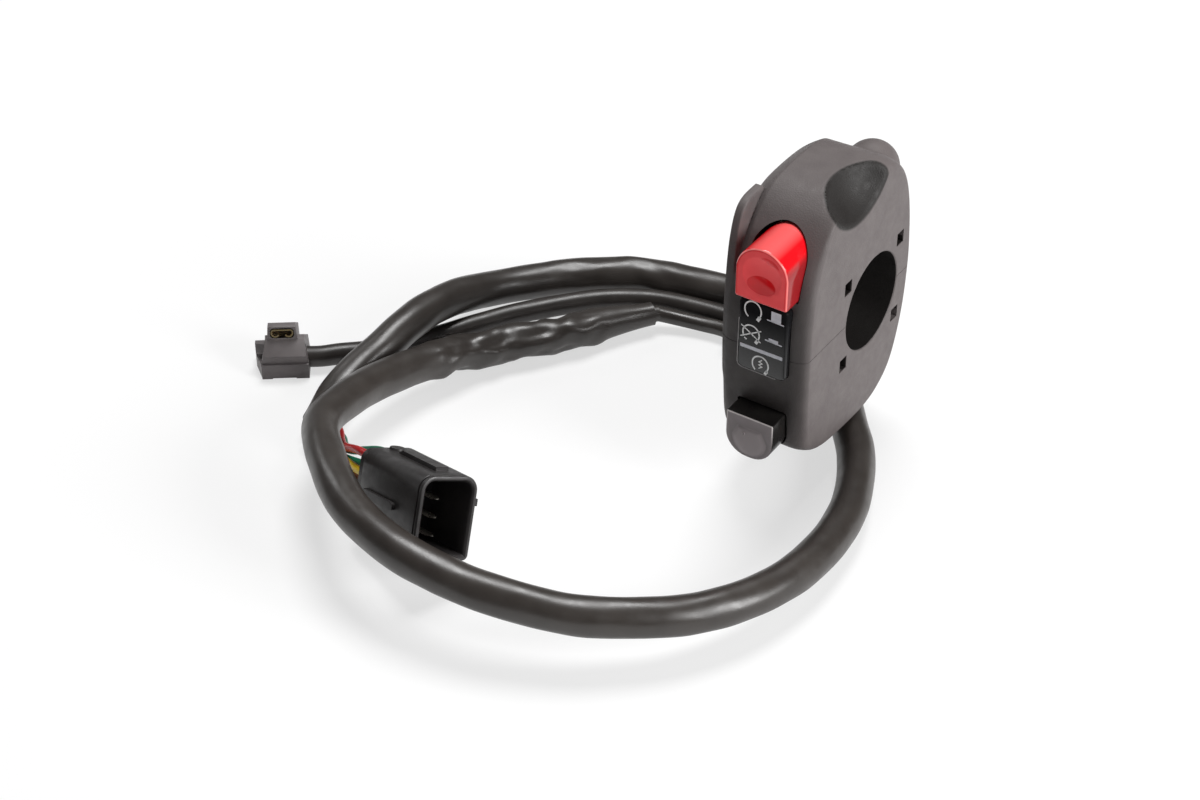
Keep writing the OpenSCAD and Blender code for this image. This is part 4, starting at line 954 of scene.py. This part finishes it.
# %% [markdown]
# The legend plate is a gloss black insert between knob and button, with a soft bevel all round. Its symbols are
# the generic ones that riders know: run, stop and start, and two small pictures of the knob, out and in.
# %% Legend plate
legend = loft("legend_shell", [legend_ring(g, reach) for g, reach in
                               ((0, 27.4), (0, 28.4), (0, 29.25), (-0.05, 29.5), (-0.15, 29.72), (-0.3, 29.88),
                                (-0.5, 29.97), (-0.72, 30))])
smooth_by_angle(legend, 40)
legend_black = finish("legend_black", (0.006, 0.006, 0.0065), (0.010, 0.010, 0.011), (0.12, 0.22), 0.4, 0.003,
                      patch_mm=5)
# Painted reflection: the specular level falls from the bottom of the plate to its top.
height = coordinates(legend_black)["Z"]
link(legend_black, between(legend_black, height, 0.5, 0.02, -4 * MM, 10 * MM),
     shader_of(legend_black).inputs["Specular IOR Level"])
dress(legend, "legend_plate", "cluster", legend_black)


def stroke(line, width, reach=30.03, back=29.96):
    """A printed line of even width along points in X and Z, as a thin closed body's points and faces."""
    line = [Vector(p) for p in line]
    sides = []
    for i, p in enumerate(line):
        before = (p - line[i - 1]).normalized() if i else (line[1] - p).normalized()
        after = (line[i + 1] - p).normalized() if i + 1 < len(line) else before
        tangent = (before + after).normalized()
        normal = Vector((-tangent.y, tangent.x)) * (width / 2 / max(0.5, tangent.dot(after)))
        sides.append((p + normal, p - normal))
    points, faces = [], []
    for left, right in sides:
        points += [(p.x, -y, p.y) for p, y in ((left, reach), (right, reach), (right, back), (left, back))]
    for i in range(len(sides) - 1):
        a, b = 4 * i, 4 * i + 4
        faces += [(a + k, b + k, b + (k + 1) % 4, a + (k + 1) % 4) for k in range(4)]
    faces += [(0, 1, 2, 3), tuple(len(points) - k for k in (1, 2, 3, 4))]
    return points, faces


def print_of(name, parts, material):
    points, faces = [], []
    for more_points, more_faces in parts:
        faces += [tuple(i + len(points) for i in face) for face in more_faces]
        points += more_points
    return dress(body(name, points, faces), None, "cluster", material)


def arc_line(centre, radii, start, end):
    return [(centre[0] + radii[0] * x, centre[1] + radii[1] * z)
            for x, z in corner_arc((0, 0), 1, start, end, 28)]


RUN, STOP, START, LINE = (-11.87, 10.5), (-12.1, 4.6), (-9.6, -2.35), 0.32
white = [stroke(arc_line(RUN, (1.95, 2.15), 238, -42), LINE), stroke([(-10.75, 8.3), (-10.2, 9.35)], 0.75),
         stroke(arc_line(STOP, (1.95, 2.05), 202, -42), LINE), stroke([(-10.95, 2.5), (-10.45, 3.5)], 0.7),
         stroke([(-13.65, 3.11), (-13.07, 2.83)], LINE),
         stroke([(-14.5, 6.12), (-9.76, 3.12)], 0.26), stroke([(-14.55, 3.18), (-9.73, 6.04)], 0.26),
         stroke(arc_line(START, (1.9, 2.05), 232, -42), LINE), stroke([(-8.45, -4.35), (-7.95, -3.45)], 0.65),
         stroke([(-9.24, -1.08), (-9.94, -1.71), (-9.12, -1.98), (-9.99, -2.51), (-9.16, -2.78),
                 (-9.95, -3.37)], 0.2)]
grey = [stroke([(-14.56, 1.03), (-4.53, 1.08)], 0.85)]
knob_out = [stroke([(-8.53, 9.5), (-4.54, 9.4)], 0.28), stroke([(-6.42, 9.5), (-6.42, 11.95)], 2.3)]
knob_in = [stroke([(-8.77, 4.4), (-4.75, 4.22)], 0.28), stroke([(-6.8, 4.4), (-6.8, 5.1)], 2.2)]
# Painted highlight: a thin pale line along the plate's left and lower bevel, where the edge catches light.
border = [stroke([(-15.1, 7.5), (-15.16, -3.5), (-14.8, -4.2), (-14.0, -4.55), (-6, -4.6)], 0.14, back=29.5)]
for name, parts, ink, dark, light in (
        ("legend_signs", white, "print_white", (0.70, 0.70, 0.70), (0.80, 0.80, 0.80)),
        ("legend_bars", grey + knob_out + knob_in, "print_grey", (0.50, 0.50, 0.55), (0.60, 0.60, 0.65)),
        ("legend_bevel_highlight_paint", border, "bevel_highlight_paint", (0.26, 0.25, 0.25), (0.34, 0.33, 0.33))):
    print_of(name, parts, finish(ink, dark, light, (0.35, 0.5), 0.3, 0.004, patch_mm=2))
print("legend printed")

# %% [markdown]
# Most hidden pieces keep their CAD solids, whose shapes are right, and only get a finish. Turned steel and
# stamped copper alloys show fine lines from their making, and moulded nylon is milky and slightly glossy.
# %% Finishes of the carried-over pieces
def metal_finish(name, dark, light, rough, stretch):
    return finish(name, dark, light, rough, 0.12, 0.004, patch_mm=2, metal=1, stretch=stretch)


steel = metal_finish("steel", (0.44, 0.44, 0.45), (0.58, 0.58, 0.59), (0.22, 0.36), (1, 6, 1))
brass = metal_finish("brass", (0.62, 0.44, 0.18), (0.76, 0.57, 0.27), (0.2, 0.34), (1, 5, 1))
copper = metal_finish("copper", (0.56, 0.30, 0.18), (0.68, 0.38, 0.24), (0.25, 0.4), (5, 1, 1))
tin = metal_finish("tin", (0.55, 0.53, 0.47), (0.68, 0.65, 0.57), (0.25, 0.38), (1, 5, 1))
nylon = finish("nylon", (0.62, 0.58, 0.50), (0.72, 0.68, 0.60), (0.35, 0.5), 0.3, 0.01, patch_mm=4)
tie_nylon = finish("tie_nylon", (0.70, 0.70, 0.68), (0.80, 0.80, 0.78), (0.3, 0.42), 0.25, 0.008, patch_mm=3)
carried = {
    steel: ["case_screws", "base_screws", "kill_latch_pin", "kill_retaining_ring", "start_retaining_ring"],
    brass: ["case_inserts", "kill_contacts", "start_contacts"],
    copper: ["kill_bridge_contact", "start_bridge_contact"],
    nylon: ["kill_base", "start_base", "kill_plunger", "start_plunger"], tie_nylon: ["strain_tie"]}
for material, names in carried.items():
    for name in names:
        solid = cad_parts[name]
        solid.data.materials.clear()
        solid.data.materials.append(material)
print(sum(len(names) for names in carried.values()), "solids keep their shape")

# %% [markdown]
# The return springs are wound wire. The cord tree can sweep a helix as well as a route, with dead end coils
# ground flat in the pocket. A spring doesn't slide with its knob.
# %% Return springs
SPRING_R, SPRING_WIRE, SPRING_TURNS, PER_TURN = 2.75, 0.5, 5, 24


def spring(name, x, z, low, high):
    points = []
    for i in range(SPRING_TURNS * PER_TURN + 1):
        turn, share = 2 * math.pi * i / PER_TURN, i / (SPRING_TURNS * PER_TURN)
        rise = share * share * (3 - 2 * share) * 0.35 + share * 0.65
        points.append((x + SPRING_R * math.cos(turn), -(low + (high - low) * rise),
                       z + SPRING_R * math.sin(turn)))
    obj, path = make_cord(name, points, SPRING_WIRE, steel, step_mm=0.5, sides=10)
    belongs(obj, name.replace("_coil", ""))
    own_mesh(obj)
    return obj


spring("kill_spring_coil", -KNOB_IN, KNOB_AXIS, 12.1, 22.1)
spring("start_spring_coil", -BUTTON_IN, BUTTON_MID, 12.1, 23.6)

# %% [markdown]
# Four thin wires climb from the outlet past the tie to the contact strips. They are inside the shells and show
# only when the part is opened, but they follow the CAD routes as the outer cords do.
# %% Wires inside the housing
inner_routes = {
    "green": [(-13.95, 12.45, -32), (-13.95, 12.45, -15), (-14.4, 11.2, -13.2), (-16, 8, -13.6),
              (-17.6, 2, -16.6), (-18.2, -5, -18), (-18.2, -11.4, -13.4), (-18.2, -14.3, -4), (-18.2, -14.3, 2),
              (-18, -12.8, 9.6), (-16.8, -9.4, 13.8), (-14.8, -7.5, 15.5), (-13.2, -7.4, 15.7),
              (-11.7, -7.4, 15.7)],
    "yellow": [(-13.95, 10.55, -32), (-13.95, 10.55, -15), (-14.1, 9.6, -14.3), (-14.8, 7, -14.4),
               (-15.8, 3.4, -16.8), (-16.4, -0.5, -18.9), (-16.5, -5, -19.6), (-16.5, -11.4, -13.8),
               (-16.5, -14.3, -4), (-16.5, -14.3, 2), (-16.4, -12.6, 8), (-16.4, -9.8, 11.2),
               (-15.2, -7.4, 12.8), (-12.6, -6.5, 13.3), (-9, -6.6, 14.2), (-7.2, -7.3, 15.4),
               (-5, -7.4, 15.7)],
    "red": [(-12.05, 12.45, -32), (-12.05, 12.45, -15), (-11.5, 11.2, -13.2), (-9.6, 8, -13.8), (-7, 3, -17.4),
            (-5, 0.4, -19.6), (-4.7, -1.4, -19.6), (-4.7, -2.9, -19.6)],
    "black": [(-12.05, 10.55, -32), (-12.05, 10.55, -15), (-12, 9.6, -14.3), (-12.1, 7, -14.4),
              (-13.2, 3.2, -17.2), (-14.5, 0.7, -19.5), (-14.9, -1.2, -19.6), (-14.9, -2.9, -19.6)]}
for colour, route in inner_routes.items():
    obj, path = make_cord("inner_wire_" + colour, route, 1.4, wire_finishes[colour], step_mm=0.8, sides=12)
    dress(obj, "housing_wires", "cluster", wire_finishes[colour])

# %% [markdown]
# A rubber grommet seals the outlet. Beyond its seat it tapers onto the sleeve, so the sleeve bends gently
# instead of folding over a hard edge. It is turned: one profile, carried round the outlet's own axis.
# %% Outlet grommet
def turned(name, profile, sides=64):
    """A closed ring from a profile of (along, radius), carried round the X axis."""
    n = len(profile)
    points = [(x, r * math.cos(t), r * math.sin(t)) for t in np.linspace(0, 2 * math.pi, sides, endpoint=False)
              for x, r in profile]
    faces = [(s * n + i, s * n + (i + 1) % n, ((s + 1) % sides) * n + (i + 1) % n, ((s + 1) % sides) * n + i)
             for s in range(sides) for i in range(n)]
    return body(name, points, faces)


def placed(obj, matrix):
    """Move a mesh, not its object, by a matrix whose shift is in millimetres."""
    shift = Matrix.Translation(matrix.translation * MM)
    obj.data.transform(shift @ matrix.to_3x3().to_4x4())
    return obj


grommet = turned("grommet_ring", [(3.62, 4.32), (3.62, 4.9), (3.8, 5.08), (6.3, 5.08), (6.6, 5.02), (7.0, 4.9),
                                  (9.3, 4.5), (9.5, 4.42), (9.5, 4.3), (6, 4.3)])
placed(grommet, Matrix.Translation(OUTLET) @ Matrix.Rotation(out_turn, 4, "Z"))
smooth_by_angle(grommet, 50)
dress(grommet, "outlet_grommet", "cluster", boot_rubber)

# %% [markdown]
# The splice boot is soft rubber moulded over the joint. The trunk, the branch and the lead enter its left end
# through short collars, and shallow ribs across its back give a hold. A last turn of tape closes the step where
# the trunk comes out of the main sleeve's narrow mouth.
# %% Splice boot
BOOT_X, BOOT_L, BOOT_Y, BOOT_H, BOOT_R = -44, 22, (12.8, 33.8), 10.4, 3.6
boot_mid, boot_w = sum(BOOT_Y) / 2, BOOT_Y[1] - BOOT_Y[0]
boot_rings = [(0, 1.3), (0.25, 0.7), (0.7, 0.25), (1.3, 0)]
for k in range(5):
    boot_rings += [(4 + 3 * k, 0), (4.3 + 3 * k, 0.3), (4.9 + 3 * k, 0.3), (5.2 + 3 * k, 0)]
boot_rings += [(BOOT_L - 1.3, 0), (BOOT_L - 0.7, 0.25), (BOOT_L - 0.25, 0.7), (BOOT_L, 1.3)]
boot_centre = (boot_mid, -38 + BOOT_H / 2)
boot = loft("boot_shell", [[(BOOT_X + x, y, z) for y, z in
                            rounded(boot_w - 2 * g, BOOT_H - 2 * g, BOOT_R - g, BOOT_R - g, boot_centre)]
                           for x, g in boot_rings])
for end, diameter in ((trunk_points[-1], TRUNK_D), (branch_points[0], SLEEVE_D), (lead_points[0], LEAD_D)):
    end = Vector(end)
    carve(boot, cylinder("boot_way", (BOOT_X - 1, end.y, end.z), (BOOT_X + 1.35, end.y, end.z),
                         diameter / 2 + 0.12))
smooth_by_angle(boot, 40)
dress(boot, "splice_boot", "cluster", boot_rubber)
tape_end = cylinder("tape_end", (-63.1, 9.3, -33.8), (-60.9, 12, -34.06), 1.9)
dress(tape_end, None, "cluster", sleeve_vinyl)
print("boot", len(boot.data.polygons), "faces")

# %% [markdown]
# The wide connector is a hood of satin nylon. Its rounded mouth has a double rim, a guide rail with a slanted
# start runs along the top and a round-ended rib along one side, and its back steps down to the wire seals.
# %% Wide connector
plug_black = finish("plug_black", (0.020, 0.018, 0.018), (0.030, 0.027, 0.027), (0.34, 0.46), 0.35, 0.012,
                    patch_mm=5, specular=0.45)
PLUG_W, PLUG_H, PLUG_TOP_R, PLUG_LOW_R = 13.4, 17.8, 3.2, 1.2


def plug_ring(x, gap, low_r=PLUG_LOW_R):
    outline = rounded(PLUG_W + 2 * gap, PLUG_H + 2 * gap, PLUG_TOP_R + gap, max(low_r + gap, 0.15))
    return [(x, y, z) for y, z in outline]


plug = loft("plug_shell", [plug_ring(x, g) for x, g in (
    (-13, -0.75), (-12.8, -0.6), (-11.0, -0.6), (-10.8, -0.4), (-10.7, -0.1), (-10.5, 0), (11.5, 0),
    (11.62, -0.08), (11.66, -0.32), (11.95, -0.32), (12.0, -0.08), (12.12, 0), (12.7, 0), (12.92, -0.1),
    (13, -0.32))])
carve(plug, loft("plug_mouth", [plug_ring(x, g, low_r=1.0) for x, g in
                                ((-2, -1.2), (12.3, -1.2), (12.75, -1.0), (13.05, -0.62), (14, -0.62))]))
rail_line = [(-7.2, 8.2), (-4.4, 9.75), (-4.1, 9.8), (8.9, 9.8), (9.1, 9.65), (9.1, 8.2)]
rib_line = [(-8, -0.8), (-8, 0.8)] + corner_arc((3.2, 0), 0.8, -90, 90)[::-1]
lug_line = [(9.8, 2.2), (9.8, 3.7), (11.3, 3.7), (11.3, 2.2)]
for name, outline, low, high in (("plug_rail", rail_line, -1.5, 1.5), ("plug_rib", rib_line, -7.48, -6.3),
                                 ("plug_lug", lug_line, 6.3, 8.2)):
    carve(plug, pulled(name, outline, 1, low, high), "UNION")
carve(plug, cylinder("plug_boss", (-8.9, 0, 8), (-8.9, 0, 9.35), 1.9, 1.6, sides=32), "UNION")
for y, z in way_places:
    carve(plug, cylinder("seal_way", (-14, y, z), (-10.9, y, z), 1.76, sides=32))
    carve(plug, box("pin_way", (-5.1, y - 0.81, z - 0.38), (0, y + 0.81, z + 0.38)))
placed(plug, plug_frame)
smooth_by_angle(plug, 32)
dress(plug, "wide_connector_shell", "cluster", plug_black)
print("plug", len(plug.data.polygons), "faces")

# %% [markdown]
# Each way has a stamped pin with a tapered tip and a ribbed rubber seal whose collars press on the wire and on
# the hood. Eight of each are one mesh, as they are one piece of the assembly.
# %% Pins and seals
def joined(name, parts):
    points, faces = [], []
    for part in parts:
        faces += [tuple(v + len(points) for v in p.vertices) for p in part.data.polygons]
        points += [tuple(v.co / MM) for v in part.data.vertices]
        bpy.data.objects.remove(part)
    return body(name, points, faces)


pin_stops = [(-5, 0.7, 0.28), (-4.9, 0.75, 0.32), (3.6, 0.75, 0.32), (4.8, 0.4, 0.14), (5, 0.25, 0.1)]
seal_profile = [
    (-15.4, 1.0), (-15.4, 1.35), (-15.25, 1.5), (-14.75, 1.52), (-14.6, 1.68), (-14.3, 1.68), (-14.15, 1.5),
    (-13.8, 1.5), (-13.65, 1.68), (-13.3, 1.68), (-13.15, 1.5), (-12, 1.5), (-11.2, 1.5), (-11.05, 1.3),
    (-11.05, 0.5), (-12.1, 0.5), (-12.1, 1.0)]
pins, seals = [], []
for y, z in way_places:
    pins.append(loft("pin", [[(x, y - w, z - t), (x, y + w, z - t), (x, y + w, z + t), (x, y - w, z + t)]
                             for x, w, t in pin_stops]))
    seal = turned("seal", seal_profile, sides=28)
    seal.data.transform(Matrix.Translation(Vector((0, y, z)) * MM))
    seals.append(seal)
pins = placed(joined("plug_pins", pins), plug_frame)
seals = placed(joined("plug_seals", seals), plug_frame)
smooth_by_angle(seals, 50)
dress(pins, "wide_connector_pins", "cluster", tin)
seal_rubber = finish("seal_rubber", (0.013, 0.013, 0.013), (0.02, 0.02, 0.02), (0.28, 0.42), 0.3, 0.01)
dress(seals, "wide_connector_seals", "cluster", seal_rubber)

# %% [markdown]
# The small connector holds one receptacle. Its front steps down from the head over a slope and a sunk band to
# the foot, the left side leans outward with a small wing, and the roof falls to the back along the slot.
# %% Small connector
tab_black = finish("tab_black", (0.115, 0.103, 0.103), (0.145, 0.130, 0.130), (0.40, 0.55), 0.3, 0.012,
                   patch_mm=4, specular=0.35)
tab_frame = Matrix.Translation(Vector((-125.2, -55.5, -38))) @ Matrix.Rotation(math.radians(36.5), 4, "Z")
TAB_W, TAB_DEPTH, TAB_H, TAB_TILT = 10.8, 9, 12, 36
Z1, Z2, Z3, SLOPE = 3.9, 6.18, 8.58, 3.6
RIDGE = SLOPE + 1.8
FALL = (TAB_DEPTH - RIDGE) * math.tan(math.radians(TAB_TILT))


def across(name, outline, *stops):
    """A body from an outline in Y and Z, pulled along X. A stop is (x, how far the slope's top leans in)."""
    return loft(name, [[(x + lean * max(0, min(1, (z - Z1) / (Z3 - Z1))), y, z) for y, z in outline]
                       for x, lean in stops])


tab = across("tab_shell", [(0, 0), (0, Z1), (0.6, Z1), (0.6, Z2), (0, Z2), (SLOPE, Z3), (RIDGE, Z3),
                           (TAB_DEPTH, Z3 - FALL), (TAB_DEPTH, 0)], (0, 1.1), (TAB_W, -0.9))
head = [(SLOPE, Z3 - 0.35), (SLOPE, TAB_H), (RIDGE, TAB_H), (TAB_DEPTH, TAB_H - FALL),
        (TAB_DEPTH, Z3 - FALL - 0.35)]
carve(tab, loft("tab_head", [[(x + lean * max(0, (z - Z3) / (TAB_H - Z3)), y, z) for y, z in head]
                             for x, lean in ((1.5, 0.35), (8.5, -0.35))]), "UNION")
wing_line = [(-1.4, 4.2), (-1.4, 5.4), (1.2, 5.4), (1.2, 3.6)]
carve(tab, pulled("tab_wing", wing_line, 2, 4.6, 7.2), "UNION")
flare_line = [(0.02, 0.25), (-1.55, RIDGE), (-1.55, TAB_DEPTH), (0.4, TAB_DEPTH), (0.4, 0.25)]
carve(tab, pulled("tab_flare", flare_line, 2, 0, Z1 - 0.3), "UNION")
edge = tab.modifiers.new("edge", "BEVEL")
edge.width, edge.segments, edge.limit_method, edge.angle_limit = 0.16 * MM, 2, "ANGLE", math.radians(25)
plain(tab)
slot_place = Vector((5, SLOPE, (Z3 + TAB_H) / 2))
slot_frame = Matrix.Translation(slot_place) @ Matrix.Rotation(math.radians(-TAB_TILT), 4, "X")
carve(tab, placed(pulled("tab_slot", rounded(5.6, 2.2, 0.9, 0.9, steps=5), 1, -2, 5), slot_frame))
carve(tab, cylinder("lead_way", (TAB_W - 1, 4.5, 2.85), (TAB_W + 1, 4.5, 2.85), 2.58))
carve(tab, box("foot_gap", (2.4, -1, -1), (7.8, 0.9, 0.22)))
carve(tab, box("side_mark", (TAB_W - 1.3, 2.6, 6.4), (TAB_W + 1, 3.4, 7.5)))
placed(tab, tab_frame)
smooth_by_angle(tab, 40)
dress(tab, "small_connector_body", "cluster", tab_black)
print("small connector", len(tab.data.polygons), "faces")

# %% [markdown]
# The receptacle is one strip of bright brass. Both edges curl over in loops, which is what grips the blade, so
# the strip is drawn as a line of even thickness and pulled along the slot.
# %% Receptacle
curl = [(0.75, -0.42), (1.1, -0.72), (1.6, -0.84), (2.1, -0.66), (2.42, -0.2), (2.42, 0.25), (2.15, 0.62),
        (1.7, 0.72)]
strip = [(-x, z) for x, z in curl] + [(-1.2, 0.66), (1.2, 0.66)] + list(reversed(curl))
receptacle = body("receptacle_strip", *stroke(strip, 0.32, reach=-0.35, back=-4.9))
placed(receptacle, tab_frame @ slot_frame)
smooth_by_angle(receptacle, 50)
bright_brass = finish("bright_brass", (0.86, 0.66, 0.34), (0.95, 0.78, 0.46), (0.18, 0.3), 0.15, 0.004,
                      patch_mm=1.5, metal=1)
dress(receptacle, "small_connector_terminal", "cluster", bright_brass)

# %% [markdown]
# Each cord and each wire rides on the cluster and replaces its solid.
for cord, node in ((main_sleeve, "main_sleeve"), (trunk, "trunk_tape"), (branch_sleeve, "branch_sleeve"),
                   (lead, "accessory_lead")):
    belongs(cord, node)
way_lengths = [0.0342, 0.0322, 0.0308, 0.030, 0.0345, 0.0324, 0.0309, 0.030]
for (wire, path), wire_length in zip(wires, way_lengths):
    belongs(wire, "wide_connector_wires")

# %% [markdown]
# The table is white paper. It shows itself white to the camera and in reflections and only partly takes the
# shadows, which makes them as pale as in a bright product picture. The lamp above is a broad soft one, behind
# and to the left of the part, so shadows fall towards the camera.
# %% Table, lamps and world
floor_mesh = bpy.data.meshes.new("table")
FLOOR_Z, HALF, PAPER_GLOW, ROOM_LIGHT = -0.0381, 3, 0.64, 0.12
corners = ((-HALF, -HALF), (HALF, -HALF), (HALF, HALF), (-HALF, HALF))
floor_mesh.from_pydata([(x, y, FLOOR_Z) for x, y in corners], [], [(0, 1, 2, 3)])
table = in_scene("table", floor_mesh)
paper = new_material("paper")
for name, value in (("Base Color", (0.88, 0.88, 0.88, 1)), ("Roughness", 0.9), ("Specular IOR Level", 0.1)):
    shader_of(paper).inputs[name].default_value = value
glow = new_node(paper.node_tree, "ShaderNodeEmission", {"Color": (1, 1, 1, 1)}).outputs["Emission"]
rays = new_node(paper.node_tree, "ShaderNodeLightPath").outputs
seen = value_node(paper, "MAXIMUM", rays["Is Camera Ray"], rays["Is Glossy Ray"])
mix = new_node(paper.node_tree, "ShaderNodeMixShader", {
    "Fac": value_node(paper, "MULTIPLY", seen, PAPER_GLOW), 1: shader_of(paper).outputs["BSDF"], 2: glow})
link(paper, mix.outputs["Shader"], paper.node_tree.nodes["Material Output"].inputs["Surface"])
table.data.materials.append(paper)

world = bpy.data.worlds.new("studio")
bpy.context.scene.world = world
world.use_nodes = True
background = world.node_tree.nodes["Background"]
background.inputs["Color"].default_value = (1, 1, 1, 1)
camera_ray = new_node(world.node_tree, "ShaderNodeLightPath").outputs["Is Camera Ray"]
level = new_node(world.node_tree, "ShaderNodeMapRange",
                 {"To Min": ROOM_LIGHT, "To Max": 1.0, "Value": camera_ray})
world.node_tree.links.new(level.outputs["Result"], background.inputs["Strength"])


def soft_lamp(name, place, aim, size, watts):
    data = bpy.data.lights.new(name, "AREA")
    data.shape = "DISK"
    data.size = size
    data.energy = watts
    lamp = in_scene(name, data)
    lamp.location = place
    lamp.rotation_euler = (Vector(aim) - Vector(place)).to_track_quat("-Z", "Y").to_euler()


soft_lamp("top lamp", (-0.18, 0.30, 1.0), (-0.04, -0.03, -0.02), 0.5, 9.5)
soft_lamp("side lamp", (0.9, 0.05, 0.42), (-0.01, 0, 0), 0.5, 10.5)
soft_lamp("left lamp", (-0.8, 0.1, 0.5), (-0.03, 0, -0.01), 0.3, 0.9)
bpy.context.scene.view_settings.view_transform = "Standard"
